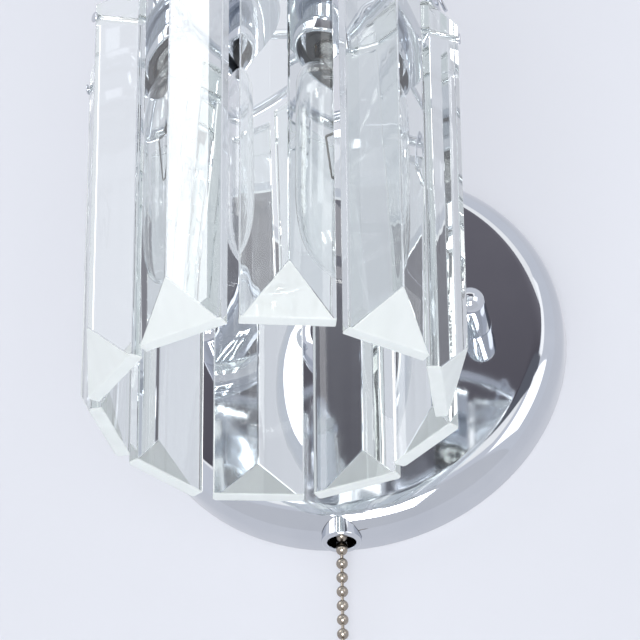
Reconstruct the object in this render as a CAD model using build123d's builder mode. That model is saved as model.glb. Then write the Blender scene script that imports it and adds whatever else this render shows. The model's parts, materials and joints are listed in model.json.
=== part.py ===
"""Crystal wall sconce with a pull switch, in millimetres.

The wall is the plane y = 0 and the light stands out along -Y, with X to the right and +Z up.
The origin is the middle of the wall bracket's back, where the bracket is screwed to the wall.
"""
from build123d import *
from math import asin, atan2, cos, degrees, hypot, pi, radians, sin, tan
import os

os.makedirs("parts", exist_ok=True)

# ---- clearances ----
slip = 0.1  # a piece that slides over another and stays there
hang_gap = 0.3  # a loose wire or ring to what it hangs on
running_gap = 0.06  # a turning pin in its hole

# ---- wall plate ----
plate_r = 60.0
plate_side = 5.0  # straight part of the rim, next to the wall
plate_round_r = 8.0  # rounded part of the rim
plate_wall = 1.0
plate_depth = plate_side + plate_round_r
plate_face_y = -plate_depth
plate_inner_y = plate_face_y + plate_wall

# ---- wall bracket and its studs ----
bracket_length = 90.0
bracket_height = 18.0
bracket_thickness = 1.5
bracket_hole_r = 6.0
bracket_tab_width = 20.0
bracket_tab_top = 36.0
slot_spacing = 46.0
slot_length = 12.0
slot_width = 4.4
stud_spacing = 73.2
stud_r = 2.0
stud_end_y = -23.0
earth_screw_x = 12.5
earth_screw_r = 1.6
earth_head_r = 2.8
earth_head_height = 2.2

# ---- domed nuts on the plate ----
nut_r = 4.2
nut_straight = 11.6
nut_bore_depth = 11.5
nut_edge = 0.3

# ---- arm from the plate to the cup ----
arm_r = 5.0
arm_wall = 1.0
arm_bore_r = arm_r - arm_wall
arm_tail_y = -6.0
arm_bend_y = -40.0
arm_rise_y = -64.0
arm_height = 48.0
arm_bend_r = 24.0
flange_r = 13.0
flange_depth = 7.0
flange_round_r = 5.0
arm_washer_r = 8.5
arm_washer_thickness = 1.0
arm_nut_flats = 14.0
arm_nut_height = 3.0

# ---- shade axis and the ring that carries the crystals ----
shade_y = -120.0
shade_base_z = -88.5
prism_count = 10
ring_turn = 15.9  # first crystal's place round the shade, from straight ahead towards +X
hang_r = 42.7
ring_wire_r = 1.5
ring_z = 28.5
spoke_count = 5
spoke_r = 1.3
hub_r = 20.0
hub_thickness = 3.0

# ---- crystals ----
prism_length = 110.0
prism_width = 23.0
prism_side = 3.0  # depth of the plain side walls
prism_depth = 9.5  # from the flat back to the ridge
prism_back = 3.4  # from the hanging line to the flat back
prism_land = 3.4  # flat strip left at the foot
prism_rise = 12.2  # how much higher the ridge ends than the back
prism_bevel = 0.25
prism_hole_r = 1.0
prism_hole_drop = 4.5
# Each crystal hangs turned a little differently on its wire, in degrees.
prism_turns = (-1.5, -9, 6, 12, 4, -3, 5, -2.5, 6, -1)

# ---- wire hooks that hang the crystals, one through each hole from the back ----
bail_wire_r = 0.5
bail_back_gap = 0.5  # from the crystal's flat back to the wire
bail_corner_r = 1.2
bail_shoulder_drop = 5.3  # from the ring's centre down to the hook's shoulder
bail_end_drop = 2.0  # from the ring's centre down to the hook's open end
bail_head_r = 1.4
bail_head_thickness = 0.5
bail_head_gap = 0.1  # from the crystal's ridge to the head

# ---- cup that holds the lampholder ----
cup_rim_r = 13.5
cup_rim_z = 18.5
cup_rim_height = 3.0
cup_neck_r = 11.0
cup_neck_z = 26.5
cup_over_arm = 10.0  # from the arm's centre line up to the cup's top
cup_wall = 1.0
cap_height = 5.0
cap_spigot = 3.0
finial_r = 3.0
lock_ring_r = 13.5
lock_ring_height = 3.0

# ---- lampholder and lamp ----
holder_z = 20.0
holder_length = 21.5
holder_wall = 2.4
holder_floor = 3.5
socket_r = 7.4
socket_wall = 0.4
socket_height = 15.0
lamp_cap_r = 6.9
lamp_cap_height = 15.5
lamp_cap_ridges = 5
lamp_cap_z = 20.4
lamp_tip_r = 2.4
bulb_r = 12.5
bulb_wall = 0.7
bulb_neck_r = 6.6
bulb_shoulder_z = 6.0
bulb_taper_z = -22.0
bulb_tip_z = -46.0
stem_r = 2.6
stem_length = 22.0
filament_half_width = 5.0
filament_drop = 16.0
support_r = 0.3

# ---- leads ----
lead_r = 0.9
lead_offset = 1.7  # each side of the middle, inside the arm
lead_y = -4.8
lead_turn_r = 4.0
lead_jog_r = 3.0

# ---- terminal block ----
terminal_width = 27.0
terminal_height = 10.0
terminal_depth = 6.6
terminal_z = 29.0
terminal_pitch = 8.0
terminal_tube_r = 2.2
terminal_bore_r = 1.4
terminal_screw_r = 1.3
terminal_screw_row = 2.4
fixing_r = 1.2
fixing_head_r = 2.0
fixing_head_height = 1.2

# ---- pull switch ----
switch_x = -3.0
switch_y = -6.4
collar_r = 5.5
collar_bore_r = 3.9
collar_lip = 1.2
collar_seat_rise = 5.5  # from the plate's lowest point up to the collar's shoulder
collar_neck_r = 4.8
collar_nut_r = 5.2
collar_nut_height = 2.4
collar_nut_rise = 0.7  # from the collar's shoulder up to its nut
switch_width = 26.0
switch_height = 23.0
switch_depth = 9.2
switch_wall = 1.2
switch_rise = 7.5  # from the collar's shoulder up to the switch case
switch_back_y = -2.2
switch_boss_r = 5.5
switch_boss_height = 3.0
lever_arm = 8.0  # from the pivot to the chain
lever_overhang = 2.2
lever_thickness = 1.6
lever_depth = 3.6
lever_slot = 1.9
lever_boss_r = 2.2
lever_rise = 11.0  # from the case's foot up to the lever
pivot_r = 1.0
pull_travel = 4.0
spring_r = 1.9
spring_wire_r = 0.25
spring_turns = 6
spring_gap = 0.2  # to the lever above it
contact_width = 3.0
contact_thickness = 0.8
contact_length = 5.8
live_contact_x = 4.5
switched_contact_x = -10.0

# ---- pull chain ----
bead_r = 1.6
bead_pitch = 4.3
bead_count = 29
link_r = 0.45
clip_gap = 0.5  # from its ball down to the lever
clip_barrel_r = 1.7
clip_barrel_length = 5.0
clip_clearance = 0.4  # from its barrel up to the switch case
weight_r = 5.0
weight_top_r = 2.4
weight_length = 21.0


# ---- places worked out from the sizes above ----
shade_centre = Vector(0, shade_y, 0)
shade_axis = Axis((0, shade_y, 0), (0, 0, 1))
prism_hole_z = shade_base_z + prism_length - prism_hole_drop
bail_wire_z = prism_hole_z + prism_hole_r - bail_wire_r - hang_gap
bail_eye_r = ring_wire_r + hang_gap + bail_wire_r
bail_leg = prism_back + bail_back_gap + bail_wire_r
bail_front = prism_depth - prism_back + bail_head_gap
hub_foot_z = ring_z - hub_thickness / 2
cup_top_z = arm_height + cup_over_arm
holder_r = cup_neck_r - cup_wall
holder_top_z = holder_z + holder_length
socket_top_z = holder_top_z - holder_floor
lamp_cap_top_z = lamp_cap_z + lamp_cap_height
lamp_contact_z = lamp_cap_top_z + 1.2
terminal_back_y = -bracket_thickness
terminal_front_y = terminal_back_y - terminal_depth
terminal_foot_z = terminal_z - terminal_height / 2
collar_seat_z = -plate_r + collar_seat_rise
collar_nut_foot_z = collar_seat_z + collar_nut_rise
switch_foot_z = collar_seat_z + switch_rise
lever_pivot_z = switch_foot_z + lever_rise
switch_top_z = switch_foot_z + switch_height
switch_front_y = switch_back_y - switch_depth
lever_pivot_x = switch_x - lever_arm
clip_ball_z = lever_pivot_z + lever_thickness / 2 + clip_gap + bead_r
clip_barrel_z = switch_foot_z - clip_clearance
chain_top_z = clip_barrel_z - clip_barrel_length
chain_length = bead_count * bead_pitch
weight_top_z = chain_top_z - chain_length + bead_pitch
collar_foot_z = -plate_r - collar_lip


def outward(angle):
    """Direction from the shade's axis to a place round it, in degrees from straight ahead."""
    return Vector(sin(radians(angle)), -cos(radians(angle)), 0)


def sideways(angle):
    """Direction along the ring at that place."""
    return Vector(cos(radians(angle)), sin(radians(angle)), 0)


def hang_point(index, height):
    """Point on the ring's centre line where a crystal hangs, moved to a height."""
    place = outward(ring_turn + index * 360 / prism_count)
    return shade_centre + place * hang_r + Vector(0, 0, height)


def hang_angle(index):
    """Direction that a crystal's ridge faces."""
    return ring_turn + index * 360 / prism_count + prism_turns[index]


def eye_apex(half_width, drop, eye_r):
    """Height of the hook's sharp top corner over the ring's centre, before it is rounded to the eye."""
    reach = hypot(half_width, drop)
    slope = atan2(drop, half_width) + asin(eye_r / reach)
    return half_width * tan(slope) - drop


# Where the two leads drop through the top of the lampholder: to its contact and to its shell.
holder_lead_places = [
    (lead_offset, shade_y + lead_r),
    (-socket_r + socket_wall / 2, shade_y + 2 * lead_r),
]


# ================= on the wall =================

with BuildPart() as wall_bracket:
    with BuildSketch(Plane.XZ):
        RectangleRounded(bracket_length, bracket_height, bracket_height / 4)
        with Locations((0, bracket_tab_top / 2)):
            Rectangle(bracket_tab_width, bracket_tab_top)
        Circle(bracket_hole_r, mode=Mode.SUBTRACT)
        with Locations((-slot_spacing / 2, 0), (slot_spacing / 2, 0)):
            SlotOverall(slot_length, slot_width, mode=Mode.SUBTRACT)
        with Locations((-stud_spacing / 2, 0), (stud_spacing / 2, 0)):
            Circle(stud_r, mode=Mode.SUBTRACT)
        with Locations((earth_screw_x, 0)):
            Circle(earth_screw_r, mode=Mode.SUBTRACT)
        with Locations((terminal_pitch / 2, terminal_z)):
            Circle(fixing_r, mode=Mode.SUBTRACT)
    extrude(amount=bracket_thickness)
wall_bracket.part.label = "wall_bracket"
export_step(wall_bracket.part, "parts/wall_bracket.step")

with BuildPart() as plate_studs:
    with BuildSketch(Plane.XZ):
        with Locations((-stud_spacing / 2, 0), (stud_spacing / 2, 0)):
            Circle(stud_r)
    extrude(amount=-stud_end_y)
    chamfer(plate_studs.faces().sort_by(Axis.Y)[:2].edges(), stud_r / 4)
plate_studs.part.label = "plate_studs"
export_step(plate_studs.part, "parts/plate_studs.step")

with BuildPart() as earth_screw:
    with BuildSketch(Plane.XZ):
        with Locations((earth_screw_x, 0)):
            Circle(earth_screw_r)
    extrude(amount=bracket_thickness)
    with BuildSketch(Plane.XZ.offset(bracket_thickness)):
        with Locations((earth_screw_x, 0)):
            Circle(earth_head_r)
            SlotOverall(2 * earth_head_r + 1, 0.8, mode=Mode.SUBTRACT)
    extrude(amount=earth_head_height)
    with BuildSketch(Plane.XZ.offset(bracket_thickness)):
        with Locations((earth_screw_x, 0)):
            Circle(earth_head_r)
    extrude(amount=earth_head_height / 2)
earth_screw.part.label = "earth_screw"
export_step(earth_screw.part, "parts/earth_screw.step")

with BuildPart() as back_plate:
    with BuildSketch(Plane.XY):
        with BuildLine():
            Line((0, plate_face_y), (plate_r - plate_round_r, plate_face_y))
            RadiusArc((plate_r - plate_round_r, plate_face_y), (plate_r, -plate_side), -plate_round_r)
            Line((plate_r, -plate_side), (plate_r, 0))
            Line((plate_r, 0), (plate_r - plate_wall, 0))
            Line((plate_r - plate_wall, 0), (plate_r - plate_wall, -plate_side))
            RadiusArc(
                (plate_r - plate_wall, -plate_side),
                (plate_r - plate_round_r, plate_inner_y),
                plate_round_r - plate_wall,
            )
            Line((plate_r - plate_round_r, plate_inner_y), (0, plate_inner_y))
            Line((0, plate_inner_y), (0, plate_face_y))
        make_face()
    revolve(axis=Axis.Y)
    with BuildSketch(Plane.XZ.offset(plate_depth)):
        Circle(arm_r + slip)
        with Locations((-stud_spacing / 2, 0), (stud_spacing / 2, 0)):
            Circle(stud_r + slip)
    extrude(amount=-plate_wall, mode=Mode.SUBTRACT)
    with BuildSketch(Plane.XY.offset(-plate_r - plate_wall)):
        with Locations((switch_x, switch_y)):
            Circle(collar_r + slip)
    extrude(amount=collar_seat_z + plate_r + plate_wall, mode=Mode.SUBTRACT)
    with BuildSketch(Plane.XY.offset(-plate_r - plate_wall)):
        with Locations((switch_x, switch_y)):
            Circle(collar_neck_r + slip)
    extrude(amount=plate_round_r + plate_wall, mode=Mode.SUBTRACT)
back_plate.part.label = "back_plate"
export_step(back_plate.part, "parts/back_plate.step")

with BuildPart() as cap_nuts:
    for side in (-1, 1):
        with BuildSketch(Plane.XY):
            with BuildLine():
                edge_x = side * stud_spacing / 2
                dome_y = plate_face_y - nut_straight
                Line((edge_x, plate_face_y), (edge_x + nut_r - nut_edge, plate_face_y))
                Line((edge_x + nut_r - nut_edge, plate_face_y), (edge_x + nut_r, plate_face_y - nut_edge))
                Line((edge_x + nut_r, plate_face_y - nut_edge), (edge_x + nut_r, dome_y))
                RadiusArc((edge_x + nut_r, dome_y), (edge_x, dome_y - nut_r), nut_r)
                Line((edge_x, dome_y - nut_r), (edge_x, plate_face_y))
            make_face()
        revolve(axis=Axis((edge_x, 0, 0), (0, 1, 0)))
    with BuildSketch(Plane.XZ.offset(plate_depth)):
        with Locations((-stud_spacing / 2, 0), (stud_spacing / 2, 0)):
            Circle(stud_r)
    extrude(amount=nut_bore_depth, mode=Mode.SUBTRACT)
cap_nuts.part.label = "cap_nuts"
export_step(cap_nuts.part, "parts/cap_nuts.step")

# ================= arm =================

arm_points = (
    (0, arm_tail_y, 0),
    (0, arm_bend_y, 0),
    (0, arm_rise_y, arm_height),
    (0, shade_y + cup_neck_r - 2 * cup_wall, arm_height),
)

with BuildPart() as arm_tube:
    with BuildLine() as arm_line:
        FilletPolyline(*arm_points, radius=arm_bend_r)
    with BuildSketch(Plane(arm_line.line @ 0, z_dir=arm_line.line % 0)):
        Circle(arm_r)
        Circle(arm_bore_r, mode=Mode.SUBTRACT)
    sweep()
arm_tube.part.label = "arm_tube"
export_step(arm_tube.part, "parts/arm_tube.step")

with BuildPart() as arm_flange:
    with BuildSketch(Plane.XY):
        with BuildLine():
            flange_top_y = plate_face_y - flange_depth
            flange_top_r = flange_r - flange_round_r
            Line((arm_r, plate_face_y), (flange_r, plate_face_y))
            Line((flange_r, plate_face_y), (flange_r, flange_top_y + flange_round_r))
            RadiusArc((flange_r, flange_top_y + flange_round_r), (flange_top_r, flange_top_y), flange_round_r)
            Line((flange_top_r, flange_top_y), (arm_r, flange_top_y))
            Line((arm_r, flange_top_y), (arm_r, plate_face_y))
        make_face()
    revolve(axis=Axis.Y)
arm_flange.part.label = "arm_flange"
export_step(arm_flange.part, "parts/arm_flange.step")

with BuildPart() as arm_washer:
    with BuildSketch(Plane.XZ.offset(-plate_inner_y)):
        Circle(arm_washer_r)
        Circle(arm_r, mode=Mode.SUBTRACT)
    extrude(amount=-arm_washer_thickness)
arm_washer.part.label = "arm_washer"
export_step(arm_washer.part, "parts/arm_washer.step")

with BuildPart() as arm_nut:
    with BuildSketch(Plane.XZ.offset(-plate_inner_y - arm_washer_thickness)):
        RegularPolygon(arm_nut_flats / 2, 6, major_radius=False)
        Circle(arm_r, mode=Mode.SUBTRACT)
    extrude(amount=-arm_nut_height)
arm_nut.part.label = "arm_nut"
export_step(arm_nut.part, "parts/arm_nut.step")

# ================= cup, lampholder and lamp =================

with BuildPart() as lamp_cup:
    with BuildSketch(Plane.XZ.offset(-shade_y)):
        with BuildLine():
            rim_top_z = cup_rim_z + cup_rim_height
            Line((cup_rim_r - cup_wall, cup_rim_z), (cup_rim_r, cup_rim_z))
            Line((cup_rim_r, cup_rim_z), (cup_rim_r, rim_top_z))
            Bezier(
                (cup_rim_r, rim_top_z),
                (cup_rim_r, (rim_top_z + cup_neck_z) / 2),
                (cup_neck_r, (rim_top_z + cup_neck_z) / 2),
                (cup_neck_r, cup_neck_z),
            )
            Line((cup_neck_r, cup_neck_z), (cup_neck_r, cup_top_z))
            Line((cup_neck_r, cup_top_z), (cup_neck_r - cup_wall, cup_top_z))
            Line((cup_neck_r - cup_wall, cup_top_z), (cup_neck_r - cup_wall, cup_neck_z))
            Bezier(
                (cup_neck_r - cup_wall, cup_neck_z),
                (cup_neck_r - cup_wall, (rim_top_z + cup_neck_z) / 2 - cup_wall / 2),
                (cup_rim_r - cup_wall, (rim_top_z + cup_neck_z) / 2 - cup_wall / 2),
                (cup_rim_r - cup_wall, rim_top_z),
            )
            Line((cup_rim_r - cup_wall, rim_top_z), (cup_rim_r - cup_wall, cup_rim_z))
        make_face()
    revolve(axis=shade_axis)
    with BuildSketch(Plane.XZ.offset(-shade_y)):
        with Locations((0, arm_height)):
            Circle(arm_r)
    extrude(amount=-cup_rim_r, mode=Mode.SUBTRACT)
lamp_cup.part.label = "lamp_cup"
export_step(lamp_cup.part, "parts/lamp_cup.step")

with BuildPart() as cup_cap:
    with BuildSketch(Plane.XZ.offset(-shade_y)):
        with BuildLine():
            spigot_r = cup_neck_r - cup_wall
            cap_top_z = cup_top_z + cap_height
            Line((0, cup_top_z - cap_spigot), (spigot_r, cup_top_z - cap_spigot))
            Line((spigot_r, cup_top_z - cap_spigot), (spigot_r, cup_top_z))
            Line((spigot_r, cup_top_z), (cup_neck_r, cup_top_z))
            Spline((cup_neck_r, cup_top_z), (0, cap_top_z), tangents=((0, 1), (-1, 0)))
            Line((0, cap_top_z), (0, cup_top_z - cap_spigot))
        make_face()
    revolve(axis=shade_axis)
    with Locations((0, shade_y, cap_top_z + finial_r * 0.75)):
        Sphere(finial_r)
cup_cap.part.label = "cup_cap"
export_step(cup_cap.part, "parts/cup_cap.step")

with BuildPart() as lampholder:
    with BuildSketch(Plane.XY.offset(holder_z)):
        with Locations((0, shade_y)):
            Circle(holder_r)
            Circle(socket_r + socket_wall, mode=Mode.SUBTRACT)
    extrude(amount=holder_length)
    with BuildSketch(Plane.XY.offset(socket_top_z)):
        with Locations((0, shade_y)):
            Circle(socket_r + socket_wall)
        with Locations(*holder_lead_places):
            Circle(lead_r + slip, mode=Mode.SUBTRACT)
    extrude(amount=holder_floor)
    with BuildSketch(Plane.XY.offset(socket_top_z)):
        with Locations(holder_lead_places[1]):
            Circle(lead_r + slip)
    extrude(amount=holder_floor, mode=Mode.SUBTRACT)
lampholder.part.label = "lampholder"
export_step(lampholder.part, "parts/lampholder.step")

with BuildPart() as socket_shell:
    with BuildSketch(Plane.XY.offset(socket_top_z)):
        with Locations((0, shade_y)):
            Circle(socket_r + socket_wall)
            Circle(socket_r, mode=Mode.SUBTRACT)
    extrude(amount=-socket_height)
socket_shell.part.label = "socket_shell"
export_step(socket_shell.part, "parts/socket_shell.step")

with BuildPart() as centre_contact:
    with BuildSketch(Plane.XY.offset(lamp_contact_z)):
        with Locations((0, shade_y)):
            Circle(lamp_tip_r)
    extrude(amount=socket_top_z - lamp_contact_z)
centre_contact.part.label = "centre_contact"
export_step(centre_contact.part, "parts/centre_contact.step")

with BuildPart() as lamp_base:
    with BuildSketch(Plane.XZ.offset(-shade_y)):
        with BuildLine():
            ridge = lamp_cap_height / lamp_cap_ridges / 2
            Line((0, lamp_cap_z), (bulb_neck_r, lamp_cap_z))
            for turn in range(lamp_cap_ridges):
                foot = lamp_cap_z + 2 * turn * ridge
                ThreePointArc(
                    (bulb_neck_r, foot),
                    (lamp_cap_r, foot + ridge),
                    (bulb_neck_r, foot + 2 * ridge),
                )
            Line((bulb_neck_r, lamp_cap_top_z), (lamp_tip_r, lamp_contact_z))
            Line((lamp_tip_r, lamp_contact_z), (0, lamp_contact_z))
            Line((0, lamp_contact_z), (0, lamp_cap_z))
        make_face()
    revolve(axis=shade_axis)
lamp_base.part.label = "lamp_base"
export_step(lamp_base.part, "parts/lamp_base.step")

with BuildPart() as lamp_glass:
    with BuildSketch(Plane.XZ.offset(-shade_y)):
        with BuildLine():
            inner_neck_r = bulb_neck_r - bulb_wall
            inner_r = bulb_r - bulb_wall
            neck_z = lamp_cap_z - bulb_wall
            Line((inner_neck_r, lamp_cap_z), (bulb_neck_r, lamp_cap_z))
            Line((bulb_neck_r, lamp_cap_z), (bulb_neck_r, neck_z))
            Spline((bulb_neck_r, neck_z), (bulb_r, bulb_shoulder_z), tangents=((0, -1), (0, -1)))
            Line((bulb_r, bulb_shoulder_z), (bulb_r, bulb_taper_z))
            Spline((bulb_r, bulb_taper_z), (0, bulb_tip_z), tangents=((0, -1), (-1, 0)))
            Line((0, bulb_tip_z), (0, bulb_tip_z + bulb_wall))
            Spline((0, bulb_tip_z + bulb_wall), (inner_r, bulb_taper_z), tangents=((1, 0), (0, 1)))
            Line((inner_r, bulb_taper_z), (inner_r, bulb_shoulder_z))
            Spline((inner_r, bulb_shoulder_z), (inner_neck_r, neck_z), tangents=((0, 1), (0, 1)))
            Line((inner_neck_r, neck_z), (inner_neck_r, lamp_cap_z))
        make_face()
    revolve(axis=shade_axis)
lamp_glass.part.label = "lamp_glass"
export_step(lamp_glass.part, "parts/lamp_glass.step")

stem_foot_z = lamp_cap_z - stem_length

with BuildPart() as lamp_stem:
    with BuildSketch(Plane.XY.offset(lamp_cap_z)):
        with Locations((0, shade_y)):
            Circle(stem_r)
    extrude(amount=-stem_length)
    chamfer(lamp_stem.edges().sort_by(Axis.Z)[0], support_r)
lamp_stem.part.label = "lamp_stem"
export_step(lamp_stem.part, "parts/lamp_stem.step")

filament_top_z = stem_foot_z - stem_r
filament_foot_z = filament_top_z - filament_drop

with BuildPart() as lamp_filament:
    with BuildLine() as filament_line:
        FilletPolyline(
            (-stem_r / 3, shade_y, stem_foot_z),
            (-stem_r / 3, shade_y, stem_foot_z - stem_r / 2),
            (-filament_half_width, shade_y, filament_top_z),
            (-filament_half_width / 2, shade_y, filament_foot_z),
            (0, shade_y, filament_top_z - stem_r),
            (filament_half_width / 2, shade_y, filament_foot_z),
            (filament_half_width, shade_y, filament_top_z),
            (stem_r / 3, shade_y, stem_foot_z - stem_r / 2),
            (stem_r / 3, shade_y, stem_foot_z),
            radius=support_r * 2,
        )
    with BuildSketch(Plane(filament_line.line @ 0, z_dir=filament_line.line % 0)):
        Circle(support_r)
    sweep()
lamp_filament.part.label = "lamp_filament"
export_step(lamp_filament.part, "parts/lamp_filament.step")

# ================= ring that carries the crystals =================

with BuildPart() as carrier_ring:
    with BuildSketch(Plane.XY.offset(hub_foot_z)):
        with Locations((0, shade_y)):
            Circle(hub_r)
            Circle(cup_neck_r, mode=Mode.SUBTRACT)
    extrude(amount=hub_thickness)
    with BuildSketch(Plane.XZ.offset(-shade_y)):
        with Locations((hang_r, ring_z)):
            Circle(ring_wire_r)
    revolve(axis=shade_axis)
    for spoke in range(spoke_count):
        spoke_angle = ring_turn + (spoke * 360 / spoke_count) + 180 / prism_count
        spoke_start = shade_centre + outward(spoke_angle) * (hub_r - ring_wire_r) + Vector(0, 0, ring_z)
        with BuildSketch(Plane(spoke_start, z_dir=outward(spoke_angle))):
            Circle(spoke_r)
        extrude(amount=hang_r - hub_r + ring_wire_r)
carrier_ring.part.label = "carrier_ring"
export_step(carrier_ring.part, "parts/carrier_ring.step")

with BuildPart() as lock_ring:
    with BuildSketch(Plane.XY.offset(hub_foot_z + hub_thickness)):
        with Locations((0, shade_y)):
            Circle(lock_ring_r)
            Circle(cup_neck_r, mode=Mode.SUBTRACT)
    extrude(amount=lock_ring_height)
    chamfer(lock_ring.faces().sort_by(Axis.Z)[-1].edges().sort_by(SortBy.LENGTH)[-1], lock_ring_height / 5)
lock_ring.part.label = "lock_ring"
export_step(lock_ring.part, "parts/lock_ring.step")

# ================= crystals and their hooks =================

for index in range(prism_count):
    angle = hang_angle(index)
    facing = outward(angle)
    along = sideways(angle)
    foot = hang_point(index, shade_base_z)
    tag = f"{index + 1:02d}"

    with BuildPart() as prism:
        with BuildSketch(Plane(foot, x_dir=-along, z_dir=(0, 0, 1))):
            with BuildLine():
                half = prism_width / 2
                Polyline(
                    (-half, -prism_back),
                    (half, -prism_back),
                    (half, prism_side - prism_back),
                    (0, prism_depth - prism_back),
                    (-half, prism_side - prism_back),
                    close=True,
                )
            make_face()
        extrude(amount=prism_length)
        chamfer(prism.edges().filter_by(Axis.Z), prism_bevel)
        with BuildSketch(Plane(foot, x_dir=facing, z_dir=-along)):
            with BuildLine():
                slope = prism_rise / (prism_depth - prism_land)
                Polyline(
                    (prism_land - prism_back, 0),
                    (prism_depth - prism_back + prism_side, prism_rise + slope * prism_side),
                    (prism_depth - prism_back + prism_side, 0),
                    close=True,
                )
            make_face()
        extrude(amount=prism_width, both=True, mode=Mode.SUBTRACT)
        with BuildSketch(Plane(hang_point(index, prism_hole_z), x_dir=along, z_dir=facing)):
            Circle(prism_hole_r)
        extrude(amount=prism_depth, both=True, mode=Mode.SUBTRACT)
    prism.part.label = f"prism_{tag}"
    export_step(prism.part, f"parts/prism_{tag}.step")

    with BuildPart() as bail:
        hook_plane = Plane(hang_point(index, ring_z), x_dir=facing, z_dir=-along)
        wire_drop = bail_wire_z - ring_z
        apex = eye_apex(bail_leg, bail_shoulder_drop, bail_eye_r)
        open_end = bail_leg * (apex + bail_end_drop) / (apex + bail_shoulder_drop)
        with BuildLine(hook_plane) as bail_line:
            FilletPolyline(
                (bail_front, wire_drop),
                (-bail_leg, wire_drop),
                (-bail_leg, -bail_shoulder_drop),
                (0, apex),
                (open_end, -bail_end_drop),
                radius=[bail_corner_r, bail_corner_r, bail_eye_r],
            )
        with BuildSketch(Plane(bail_line.line @ 0, z_dir=bail_line.line % 0)):
            Circle(bail_wire_r)
        sweep()
        with BuildSketch(Plane(bail_line.line @ 0, z_dir=facing)):
            Circle(bail_head_r)
        extrude(amount=bail_head_thickness)
        chamfer(bail.faces().sort_by(Axis(shade_centre, facing))[-1].edges(), bail_head_thickness / 3)
    bail.part.label = f"bail_{tag}"
    export_step(bail.part, f"parts/bail_{tag}.step")

# ================= leads and terminals =================

lead_end_z = terminal_z - terminal_screw_row - terminal_screw_r
switch_lead_z = switch_top_z - switch_wall - contact_length / 2
in_arm = ((arm_bend_y, 0), (arm_rise_y, arm_height))
arm_turns = [lead_turn_r, arm_bend_r, arm_bend_r]

lead_routes = {
    "lead_live": (
        [
            (live_contact_x, lead_y, switch_lead_z),
            (live_contact_x, lead_y, -18),
            (lead_offset, lead_y, -12),
            (lead_offset, lead_y, 0),
            *[(lead_offset, y, z) for y, z in in_arm],
            (*holder_lead_places[0], arm_height),
            (*holder_lead_places[0], socket_top_z),
        ],
        [lead_jog_r, lead_jog_r, *arm_turns, lead_turn_r],
    ),
    "lead_neutral": (
        [
            (0, lead_y, lead_end_z),
            (0, lead_y, 20),
            (-lead_offset, lead_y, 14),
            (-lead_offset, lead_y, 0),
            *[(-lead_offset, y, z) for y, z in in_arm],
            (-lead_offset, shade_y + cup_neck_r - cup_wall, arm_height),
            (*holder_lead_places[1], holder_top_z + lead_jog_r),
            (*holder_lead_places[1], socket_top_z),
        ],
        [lead_jog_r, lead_jog_r, *arm_turns, lead_jog_r, lead_jog_r],
    ),
    "lead_switched": (
        [
            (-terminal_pitch, lead_y, lead_end_z),
            (-terminal_pitch, lead_y, 20),
            (switched_contact_x, lead_y, 14),
            (switched_contact_x, lead_y, switch_lead_z),
        ],
        [lead_jog_r, lead_jog_r],
    ),
    "lead_earth": (
        [
            (terminal_pitch, lead_y, lead_end_z),
            (terminal_pitch, lead_y, 19),
            (earth_screw_x, -bracket_thickness - lead_r - slip, 11),
            (earth_screw_x, -bracket_thickness - lead_r - slip, earth_head_r),
        ],
        [lead_jog_r, lead_jog_r],
    ),
}

for name, (route, turns) in lead_routes.items():
    with BuildPart() as lead:
        with BuildLine() as lead_line:
            FilletPolyline(*route, radius=turns)
        with BuildSketch(Plane(lead_line.line @ 0, z_dir=lead_line.line % 0)):
            Circle(lead_r)
        sweep()
    lead.part.label = name
    export_step(lead.part, f"parts/{name}.step")

terminal_poles = [(-terminal_pitch, 0), (0, 0), (terminal_pitch, 0)]
screw_places = [(x, row * terminal_screw_row) for x, _ in terminal_poles for row in (-1, 1)]

with BuildPart() as terminal_block:
    with Locations((0, (terminal_back_y + terminal_front_y) / 2, terminal_z)):
        Box(terminal_width, terminal_depth, terminal_height)
    fillet(terminal_block.edges().filter_by(Axis.Y), 1)
    with BuildSketch(Plane.XY.offset(terminal_foot_z)):
        with Locations((0, lead_y)):
            with Locations(*terminal_poles):
                Circle(terminal_tube_r)
    extrude(amount=terminal_height, mode=Mode.SUBTRACT)
    with BuildSketch(Plane.XZ.offset(-terminal_front_y)):
        with Locations((0, terminal_z)):
            with Locations(*screw_places):
                Circle(terminal_screw_r + slip)
    extrude(amount=-terminal_depth / 2, mode=Mode.SUBTRACT)
    with BuildSketch(Plane.XZ.offset(-terminal_front_y)):
        with Locations((terminal_pitch / 2, terminal_z)):
            Circle(fixing_r + slip)
    extrude(amount=-terminal_depth, mode=Mode.SUBTRACT)
terminal_block.part.label = "terminal_block"
export_step(terminal_block.part, "parts/terminal_block.step")

with BuildPart() as terminal_tubes:
    with BuildSketch(Plane.XY.offset(terminal_foot_z)):
        with Locations((0, lead_y)):
            with Locations(*terminal_poles):
                Circle(terminal_tube_r)
                Circle(terminal_bore_r, mode=Mode.SUBTRACT)
    extrude(amount=terminal_height)
    with BuildSketch(Plane.XZ.offset(-terminal_front_y)):
        with Locations((0, terminal_z)):
            with Locations(*screw_places):
                Circle(terminal_screw_r)
    extrude(amount=terminal_front_y - lead_y, mode=Mode.SUBTRACT)
terminal_tubes.part.label = "terminal_tubes"
export_step(terminal_tubes.part, "parts/terminal_tubes.step")

with BuildPart() as terminal_screws:
    with BuildSketch(Plane.XZ.offset(-terminal_front_y)):
        with Locations((0, terminal_z)):
            with Locations(*screw_places):
                Circle(terminal_screw_r)
    extrude(amount=terminal_front_y - lead_y + lead_r)
terminal_screws.part.label = "terminal_screws"
export_step(terminal_screws.part, "parts/terminal_screws.step")

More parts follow.
